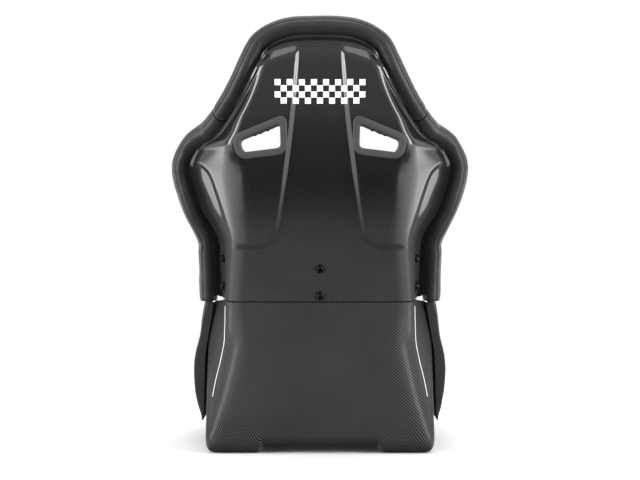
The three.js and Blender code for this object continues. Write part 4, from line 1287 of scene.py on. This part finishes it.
# ---------------------------------------------------------------- joint hardware
@dataclass
class JointHardware:
    """The six joint bolts with their washers and nuts."""

    finishes: Finishes
    scatter: PlacingTree
    centre_lower: float = 307.0
    centre_pitch: float = 52.0
    side_lower: float = 322.0
    side_pitch: float = 54.0
    side_share: float = 0.905
    washer_proud: float = 0.9
    washer_thickness: float = 1.6
    fit_gap: float = 0.4
    stack: float = 9.2
    nut_height: float = 6.5
    sides: int = 36
    head: tuple[Pair, ...] = (
        (0.01, -19.6), (3.4, -19.6), (4, -19), (4, 0), (6.6, 0), (7, 0.4), (7, 1.1), (6.6, 2.3),
        (5.7, 3.5), (4.6, 4.2), (4.0, 4.4))
    washer: tuple[Pair, ...] = (
        (4.4, 0), (8.4, 0), (8.8, 0.4), (8.8, 1.2), (8.4, 1.6), (4.4, 1.6), (4.4, 0))
    nut: tuple[Pair, ...] = (
        (4.4, 0), (6.6, 0), (7.2, 0.7), (7.2, 5.8), (6.6, 6.5), (4.4, 6.5), (4.4, 0))

    def places(self) -> list[tuple[str, Vector, Vector]]:
        """The name, place on the skin and outward direction of each joint bolt."""
        found = []
        for row, level in (("lower", 0), ("upper", 1)):
            spots = [("center", 0.0, self.centre_lower + level * self.centre_pitch)]
            side_height = self.side_lower + level * self.side_pitch
            spots += [(side.word, side.value * self.side_share, side_height) for side in Side]
            for word, u, z in spots:
                v = BACK.v(z)
                out = BACK.outward(u or 0.02, v)
                if not u:
                    out.x = 0
                found.append((f"{word}_{row}", BACK.point(u or 1e-6, v), out.normalized()))
        return found

    def build(self) -> None:
        """Makes the bolts, washers and nuts, each kind as one set."""
        spots = self.places()
        bolt_at = self.washer_proud + self.washer_thickness + self.fit_gap
        nut_at = -self.stack - self.washer_proud - self.nut_height
        kinds = (
            ("joint_bolts", "joint_bolt", bolt_at, self.finishes.black, Slot.BLACK,
             bolt_object("bolt_shape", self.head, self.sides, hexagon=3.5, socket_floor=1.4)),
            ("joint_washers", "joint_washer", self.washer_proud, self.finishes.black, Slot.BLACK,
             hard_object("washer_shape", [round_ring(*p, self.sides) for p in self.washer])),
            ("joint_nuts", "joint_nut", nut_at, self.finishes.zinc, Slot.ZINC,
             hard_object("nut_shape", [round_ring(*p, 6) for p in self.nut])),
        )
        for name, node, lift, finish, slot, shape in kinds:
            points = [placed(p + out * lift) for _, p, out in spots]
            carrier = carrier_mesh(
                name, points, [out for _, _, out in spots], [Vector((0, 0, 1))] * len(spots))
            made = self.scatter.make(name, carrier, shape, finish)
            hand_over(made, slot, [f"{node}_{word}" for word, _, _ in spots])


# ---------------------------------------------------------------- rim roll
@dataclass
class RimRoll:
    """The padded leatherette roll that wraps the back shell's rim, with its welt."""

    finishes: Finishes
    half_out: float = 18.0
    half_deep: float = 24.0
    offset: float = 20.5
    flare: float = 9.0
    forward: float = 16.0
    joint: float = 0.0012
    sides: int = 56
    piping_angle: float = -1.0
    piping_radius: float = 1.7
    groove: float = 2.6
    groove_width: float = 0.085
    hem_angle: float = -2.45
    hem_width: float = 0.22
    hem_depth: float = 1.2
    end_pinch: float = 0.08
    pinch_reach: float = 3.5
    pucker_pitch: float = 11.0
    parts: tuple[tuple[str, float, float], ...] = (
        ("left", 0.0, 0.315), ("head", 0.315, 0.685), ("right", 0.685, 1.0))

    def __post_init__(self) -> None:
        """Walks the rim and measures it."""
        rise = [i / 240 for i in range(240)]
        path = [BACK.point(-1, v) for v in rise]
        path += [BACK.point(u or 1e-6, 1) for u in spread(-1, 1, 90)]
        path += [BACK.point(1, v) for v in reversed(rise)]
        points = np.array([tuple(p) for p in path])
        steps = np.r_[0, np.cumsum(np.linalg.norm(np.diff(points, axis=0), axis=1))]
        even = np.linspace(0, steps[-1], 600)
        track = np.stack([np.interp(even, steps, points[:, i]) for i in range(3)], axis=1)
        for _ in range(12):
            track[1:-1] = 0.5 * track[1:-1] + 0.25 * (track[:-2] + track[2:])
        self.track, self.length = track, float(steps[-1])

    def frame_at(self, w: float) -> tuple[Vector, Vector, Vector]:
        """The roll's centre, outward and forward directions at share w of the rim."""
        place = clamp(w, 0, 1) * (len(self.track) - 1)
        i = min(int(place), len(self.track) - 2)
        here = Vector(self.track[i]).lerp(Vector(self.track[i + 1]), place - i)
        low, high = max(i - 3, 0), min(i + 4, len(self.track) - 1)
        tangent = (Vector(self.track[high]) - Vector(self.track[low])).normalized()
        outward = Vector((-tangent.z, 0, tangent.x)).normalized()
        forward = outward.cross(tangent).normalized()
        if forward.y < 0:
            forward.negate()
        flare = self.flare * (1 - smooth((here.z - 380) / 90))
        here += outward * (self.offset + flare)
        here.y += self.forward
        return here, outward, forward

    def surface(self, w: float, angle: float, start: float, end: float,
                extra: float = 0.0) -> Vector:
        """A point of the roll's skin.

        Args:
            w: The share of the rim.
            angle: The angle round the roll, 0 outward and positive towards the front.
            start: Where this length of roll starts.
            end: Where it ends.
            extra: How far off the skin the point lies.

        Returns:
            The point, in seat millimetres.
        """
        centre, outward, forward = self.frame_at(w)
        from_end = min(w - start, end - w) * self.length
        full = 1 - self.end_pinch * math.exp(-max(from_end, 0) / self.pinch_reach)
        seam = ridge(angle, self.piping_angle, self.groove_width)
        hem = ridge(angle, self.hem_angle, self.hem_width)
        spot = centre + outward * math.cos(angle) * 20 + forward * math.sin(angle) * 20
        soft = noise.noise(spot * 0.022) * 1.3 + noise.noise(spot * 0.075) * 0.45
        wave = w * self.length * 2 * math.pi / self.pucker_pitch
        pucker = 0.35 * math.sin(wave + 2 * noise.noise(spot * 0.05))
        near_seam = math.exp(-((angle - self.piping_angle) / 0.35) ** 2)
        swell = soft + pucker * near_seam - self.groove * seam - self.hem_depth * hem
        reach = full + swell / 22
        out = (self.half_out * reach + extra) * math.cos(angle)
        deep = (self.half_deep * reach + extra) * math.sin(angle)
        return centre + outward * out + forward * deep

    def build(self) -> None:
        """Makes the three lengths of roll and their welts."""
        for word, low, high in self.parts:
            start = low + (self.joint if low > 0 else 0)
            end = high - (self.joint if high < 1 else 0)
            count = round((end - start) * self.length / 3.2)
            rings = [[placed(self.surface(w, a, start, end)) for a in turns(self.sides)]
                     for w in spread(start, end, count)]
            for last, before, at in ((0, 1, 0), (-1, -2, len(rings) + 1)):
                ring = rings[last]
                middle = sum(ring, Vector()) / len(ring)
                bulge = (middle - sum(rings[before], Vector()) / len(ring)) * 0.25
                rings.insert(at, [middle.lerp(p, 0.82) + bulge for p in ring])
            roll = loft_object(f"rim_roll_cover_{word}", rings)
            hand_over(roll, Slot.LEATHER, [f"rim_roll_{word}"], self.finishes.leather)
            self._welt(word, start, end)

    def _welt(self, word: str, start: float, end: float) -> None:
        """Makes the corded welt along one length of roll."""
        rings = []
        count = round((end - start) * self.length / 4)
        cos, sin = math.cos(self.piping_angle), math.sin(self.piping_angle)
        radius = self.piping_radius
        for w in spread(start + self.joint, end - self.joint, count):
            centre = self.surface(w, self.piping_angle, start, end, extra=radius * 0.25)
            _, outward, forward = self.frame_at(w)
            away = (outward * cos + forward * sin).normalized()
            across = (forward * cos - outward * sin).normalized()
            rings.append([placed(centre + (away * math.cos(a) + across * math.sin(a)) * radius)
                          for a in turns(10)])
        welt = loft_object(f"welt_{word}", rings)
        hand_over(welt, Slot.LEATHER, [f"piping_{word}"], self.finishes.piping)


# ---------------------------------------------------------------- upholstery
@dataclass(frozen=True)
class PadSpec:
    """One foam pad: what it looks towards, how much it may swell and where its channels run."""

    node: str
    name: str
    facing: tuple[float, float, float]
    swell: float = 9.0
    voxel: float = 5.0
    fill: float = 0.65
    channel_axis: int | None = None
    channel_pitch: float = 36.0
    channel_depth: float = 4.5
    slot: Slot = Slot.FABRIC
    two_tone: bool = False


@dataclass
class Upholstery:
    """The foam pads, swollen by a cloth simulation inside their sewn covers."""

    finishes: Finishes
    stitches: PlacingTree
    frames: int = 20
    pressure: float = 4.0
    shrink: float = 0.8
    channel_width: float = 3.2
    stitch_pitch: float = 5.2 * MM
    stitch_break: float = 12 * MM
    seam_share: float = 0.72
    seam_width: float = 0.05
    seam_depth: float = 1.3 * MM

    def specs(self) -> list[PadSpec]:
        """Every pad of the back and the base."""
        pads = [
            PadSpec("headrest_cushion", "headrest_pad", (0, 1, 0), 10, channel_axis=2,
                    channel_pitch=42),
            PadSpec("backrest_cushion", "backrest_pad", (0, 1, 0), 9, channel_axis=2),
            PadSpec("lumbar_cushion", "lumbar_pad", (0, 1, 0.1), 9, channel_axis=2),
            PadSpec("hip_cushion", "hip_pad", (0, 0.8, 0.6), 7, channel_axis=2),
            PadSpec("seat_cushion", "seat_pad", (0, 0.1, 1), 8, channel_axis=1),
        ]
        for side in Side:
            inward, word = -side.value * 0.6, side.word
            for node, name, facing in (
                    (f"back_bolster_{word}", f"shoulder_bolster_{word}", (inward, 0.8, 0)),
                    (f"thigh_bolster_{word}", f"thigh_bolster_cover_{word}", (inward, 0, 0.8))):
                pads.append(PadSpec(node, name, facing, 8, slot=Slot.LEATHER, two_tone=True))
        pads.append(PadSpec("front_lip_roll", "front_edge_roll", (0, 1, 0.4), 4,
                            slot=Slot.LEATHER, fill=0.7))
        return pads

    def _start(self, spec: PadSpec) -> Object:
        """A finely meshed copy of a pad's CAD solid."""
        pad = add_object(spec.name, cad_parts[spec.node].data.copy())
        turn_out(pad)
        modify(pad, "REMESH", mode="VOXEL", voxel_size=spec.voxel * MM, use_smooth_shade=True)
        modify(pad, "SMOOTH", factor=0.5, iterations=4)
        flatten(pad)
        pad.data.materials.clear()
        move_points(pad, points_of(pad) - normals_of(pad) * self.shrink * MM)
        return pad

    def _swell(self, pad: Object, spec: PadSpec) -> None:
        """Blows the pad up like foam in its cover; only its open face may move far."""
        before, normals = points_of(pad), normals_of(pad)
        facing = Vector(spec.facing).normalized()
        open_face = np.clip((normals @ np.array(facing) + 0.1) / 0.6, 0, 1)
        cloth = modify(pad, "CLOTH")
        cloth.settings.use_pressure = True
        cloth.settings.uniform_pressure_force = self.pressure
        cloth.settings.effector_weights.gravity = 0.0
        cloth.settings.quality = 4
        cloth.collision_settings.use_collision = False
        scene = bpy.context.scene
        for number in range(1, self.frames + 1):
            scene.frame_set(number)
        flatten(pad)
        after = points_of(pad)
        scene.frame_set(1)
        move = after - before
        far = np.linalg.norm(move, axis=1)
        most = (0.4 + open_face * spec.swell) * MM
        move *= np.minimum(1, most / np.maximum(far, 1e-9))[:, None]
        move_points(pad, before + move)

    def _channels(self, pad: Object, spec: PadSpec) -> list[float]:
        """Presses the sewn channels into the open face and gives their places along the axis."""
        points, normals = points_of(pad), normals_of(pad)
        axis = spec.channel_axis
        low, high = points[:, axis].min() / MM, points[:, axis].max() / MM
        count = max(round((high - low) / spec.channel_pitch), 2)
        lines = [lerp(low, high, i / count) for i in range(1, count)]
        facing = np.array(Vector(spec.facing).normalized())
        open_face = np.clip((normals @ facing - 0.15) / 0.4, 0, 1)
        press = np.zeros(len(points))
        for line in lines:
            away = (points[:, axis] / MM - line) / self.channel_width
            press = np.maximum(press, np.exp(-(away**2)))
        move_points(pad, points - normals * (press * open_face * spec.channel_depth * MM)[:, None])
        return lines

    def _stitch_channels(self, pad: Object, spec: PadSpec, lines: Sequence[float]) -> None:
        """Sews a row of stitches beside each channel."""
        low, high = (Vector(c) for c in (points_of(pad).min(0), points_of(pad).max(0)))
        facing = Vector(spec.facing).normalized()
        places: list[Vector] = []
        axes: list[Vector] = []
        breaks: list[int] = []
        for line in lines:
            for offset in (-5.5, 5.5):
                starts = []
                for x in spread(low.x * 0.9, high.x * 0.9, 90):
                    spot = (low + high) / 2
                    spot.x = x
                    spot[spec.channel_axis] = (line + offset) * MM
                    starts.append(spot + facing * 0.4)
                landed, normals = project(starts, pad, -facing, 0.25 * MM)
                breaks.append(len(places))
                breaks += [len(places) + i for i in range(1, len(landed))
                           if (landed[i] - landed[i - 1]).length > self.stitch_break]
                places += landed
                axes += normals
        if places:
            self.sew(f"stitches_{spec.name}", places, axes, breaks)

    def sew(self, name: str, places: Sequence[Vector], axes: Sequence[Vector],
            breaks: Sequence[int]) -> None:
        """Sews stitches along paths.

        Args:
            name: The piece's name.
            places: The points of the paths.
            axes: The surface's normals at them.
            breaks: Where a new path starts.
        """
        profile = ((0.01, -1.7), (0.34, -1.45), (0.46, -0.7), (0.46, 0.7), (0.34, 1.45),
                   (0.01, 1.7))
        rings = [[Vector((r * math.cos(a), h, r * math.sin(a))) * MM for a in turns(6)]
                 for r, h in profile]
        stitch = loft_object("stitch_shape", rings)
        carrier = carrier_mesh(name, places, axes, breaks=breaks)
        made = self.stitches.make(
            name, carrier, stitch, self.finishes.thread, pitch=self.stitch_pitch)
        made.data.shade_smooth()
        hand_over(made, Slot.FABRIC, [])

    def _two_tone(self, pad: Object, spec: PadSpec) -> None:
        """Gives a bolster a fabric inner face and a leatherette outer one, with a pressed seam."""
        pad.data.materials.append(self.finishes.leather)
        pad.data.materials.append(self.finishes.fabric)
        points, normals = points_of(pad), normals_of(pad)
        facing = np.array(Vector(spec.facing).normalized())
        share = normals @ facing
        seam = np.exp(-(((share - self.seam_share) / self.seam_width) ** 2)) * self.seam_depth
        move_points(pad, points - normals * seam[:, None])
        for face in pad.data.polygons:
            inner = sum(share[i] for i in face.vertices) / len(face.vertices)
            face.material_index = 1 if inner > self.seam_share else 0

    def build(self) -> None:
        """Makes every pad."""
        for spec in self.specs():
            pad = self._start(spec)
            self._swell(pad, spec)
            modify(pad, "SMOOTH", factor=0.5, iterations=3)
            modify(pad, "SUBSURF", levels=1, render_levels=1)
            flatten(pad)
            material = self.finishes.leather if spec.slot is Slot.LEATHER else self.finishes.fabric
            if spec.channel_axis is not None:
                self._stitch_channels(pad, spec, self._channels(pad, spec))
            if spec.two_tone:
                self._two_tone(pad, spec)
                material = None
            hand_over(pad, spec.slot, [spec.node], material)


@dataclass
class BaseCover:
    """The padded leatherette skirts that hang outside the base shell's sides."""

    finishes: Finishes
    clearance: float = 4.0
    standoff: float = 8.0
    overhang: float = 26.0
    least: float = 6.0
    foot: float = 52.0
    rings: int = 150
    sides: int = 64
    outer: Profile = Profile(
        (52, 234), (77, 241), (97, 245), (117, 248), (157, 251), (177, 250), (197, 246),
        (217, 240), (257, 236), (293, 232))
    inner: Profile = Profile((52, 227), (204, 224), (293, 201))

    def surface(self, side: Side, s: float, turn: float) -> Vector:
        """A point of a skirt: row s of the base, turn from 0 to 1 round the skirt's section."""
        clearance = self.clearance + self.standoff * (1 - smooth(s / 0.35))
        rim = BASE.rim(s)
        top = rim.z + 0.8 * self.overhang * smooth((s - 0.1) / 0.35)
        along, out = math.cos(FULL_TURN * turn), math.sin(FULL_TURN * turn)
        low = 0.5 - 0.5 * math.copysign(abs(along) ** 0.7, along)
        across = 0.5 + 0.5 * math.copysign(abs(out) ** 0.5, out)
        z = lerp(top, self.foot, low)
        inner = max(rim.x + clearance, self.inner(z) + self.clearance)
        outer = max(self.outer(z), inner + self.least)
        fold = noise.noise(Vector((s * 9, low * 1.6 + s * 3, side.value * 2.3)))
        ripple = abs(noise.noise(Vector((s * 26 - low * 4, low * 3.1, side.value * 5.7))))
        outside = smooth((across - 0.5) / 0.5)
        x = lerp(inner, outer, across) + outside * (fold * 3.0 - (0.35 - ripple) * 2.0)
        return Vector((side.value * x, rim.y, z))

    def build(self) -> None:
        """Makes both skirts."""
        for side in Side:
            rings = [[placed(self.surface(side, s, j / self.sides)) for j in range(self.sides)]
                     for s in spread(0.02, 0.998, self.rings)]
            skirt = loft_object(f"base_cover_{side.word}", rings)
            modify(skirt, "SUBSURF", levels=1, render_levels=1)
            flatten(skirt)
            hand_over(
                skirt, Slot.LEATHER, [f"base_skirt_{side.word}"], self.finishes.leather)


# ---------------------------------------------------------------- CAD pieces that stay
def dress_frame(finishes: Finishes) -> None:
    """Gives the CAD nodes that stay in view their materials."""
    for name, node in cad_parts.items():
        if name.startswith("mount_"):
            material = finishes.zinc
        elif "tape" in name:
            material = finishes.tape
        else:
            continue
        node.data.materials.clear()
        node.data.materials.append(material)
        LOG.info("%s keeps its CAD mesh", name)


# ---------------------------------------------------------------- studio
@dataclass
class Studio:
    """The pale floor, the soft lights and the camera."""

    camera_back: float = 3.3
    camera_height: float = 0.45
    lens: float = 96.2
    shift_y: float = -0.03
    floor_size: float = 14.0
    reflector: float = 2.0
    floor_clear: float = 0.8
    floor_white: float = 2.2
    target: tuple[float, float, float] = (0, -0.1, 0.45)
    lights: tuple[tuple[str, tuple[float, float, float], Pair, float], ...] = (
        ("top_softbox", (0, -0.4, 3.0), (2.6, 2.2), 2.4),
        ("left_strip", (-2.5, -1.5, 0.95), (1.0, 2.0), 11.0),
        ("right_strip", (2.5, -1.5, 0.95), (1.0, 2.0), 11.0),
        ("front_softbox", (0.8, 3.0, 1.8), (2.2, 1.6), 2.5))

    def camera(self) -> None:
        """Puts the camera level behind the seat."""
        data = bpy.data.cameras.new("camera")
        data.lens, data.shift_y = self.lens, self.shift_y
        camera = add_object("camera", data)
        camera.location = (0, -SHIFT * MM - self.camera_back, self.camera_height)
        camera.rotation_euler = (math.pi / 2, 0, 0)
        bpy.context.scene.camera = camera

    def softbox(self, name: str, place: Vector, size: Pair,
                radiance: float) -> None:
        """Adds a rectangular soft light that looks at the seat.

        Args:
            name: The light's name.
            place: Where it stands.
            size: Its width and height in metres.
            radiance: How bright its face is.
        """
        data = bpy.data.lights.new(name, "AREA")
        data.shape, data.size, data.size_y = "RECTANGLE", *size
        data.energy = radiance * math.pi * size[0] * size[1]
        lamp = add_object(name, data)
        lamp.location = place
        lamp.rotation_euler = (place - Vector(self.target)).to_track_quat("Z", "Y").to_euler()

    def floor(self) -> None:
        """Lays the pale floor."""
        half = self.floor_size / 2
        corners = ((-half, -half), (half, -half), (half, half), (-half, half))
        floor = mesh_object(
            "studio_floor", [Vector((x, y, -0.0005)) for x, y in corners], [(0, 1, 2, 3)])
        material = bpy.data.materials.new("floor_white")
        graph = Graph(material)
        x, y, _ = graph.place()
        away = (x * x + y * y).ramp(self.floor_clear**2, self.floor_white**2)
        graph.surface({
            "Base Color": graph.mix(away, grey(0.93), grey(0.0)), "Roughness": 0.9,
            "Specular IOR Level": 0.1,
            "Emission Color": graph.mix(away, grey(0.0), grey(1.0)), "Emission Strength": 1.0})
        floor.data.materials.append(material)
        floor.visible_glossy = False

    def world(self) -> None:
        """Surrounds the seat with a pale room whose lower part is dark in reflections."""
        world = bpy.data.worlds.new("studio")
        bpy.context.scene.world = world
        graph = Graph(world)
        ray = graph.node("ShaderNodeLightPath")
        seen = Wire(graph, ray.outputs["Is Camera Ray"])
        direction = graph.wire("ShaderNodeTexCoord", output="Generated")
        parts = graph.node("ShaderNodeSeparateXYZ", None, {0: direction})
        across, up = Wire(graph, parts.outputs[0]), Wire(graph, parts.outputs[2])
        glossy = Wire(graph, ray.outputs["Is Glossy Ray"])
        at_sides = glossy * abs(across).ramp(0.45, 0.62)
        reflector = at_sides * up.ramp(-0.62, -0.45) * up.ramp(-0.12, 0.02, 1.0, 0.0)
        room = up.ramp(-0.50, -0.16, 0.012, 0.55) + up.ramp(0.0, 0.6, 0.0, 0.25)
        glow = room + reflector * self.reflector
        strength = seen * 1.0 + (1 - seen) * glow
        lamp = graph.wire("ShaderNodeBackground", None, {"Color": grey(1.0), "Strength": strength})
        graph.node("ShaderNodeOutputWorld", None, {"Surface": lamp})

    def build(self) -> None:
        """Sets the whole studio."""
        self.camera()
        self.floor()
        self.world()
        for name, place, size, radiance in self.lights:
            self.softbox(name, Vector(place), size, radiance)
        view = bpy.context.scene.view_settings
        view.view_transform, view.look = "Standard", "None"


def main() -> None:
    """Builds the seat, piece by piece, in its studio."""
    logging.basicConfig(level=logging.INFO, format="%(name)s: %(message)s", stream=sys.stdout)
    finishes = Finishes()
    scatter = PlacingTree("copies_on_points", along=False)
    seams = PlacingTree("stitches_along_paths", along=True)
    Studio().build()
    slots = HarnessSlots(finishes)
    Shells(finishes).build(list(slots.slots.values()))
    slots.build()
    JointHardware(finishes, scatter).build()
    RimRoll(finishes).build()
    Upholstery(finishes, seams).build()
    BaseCover(finishes).build()
    dress_frame(finishes)


if __name__ == "__main__":
    main()
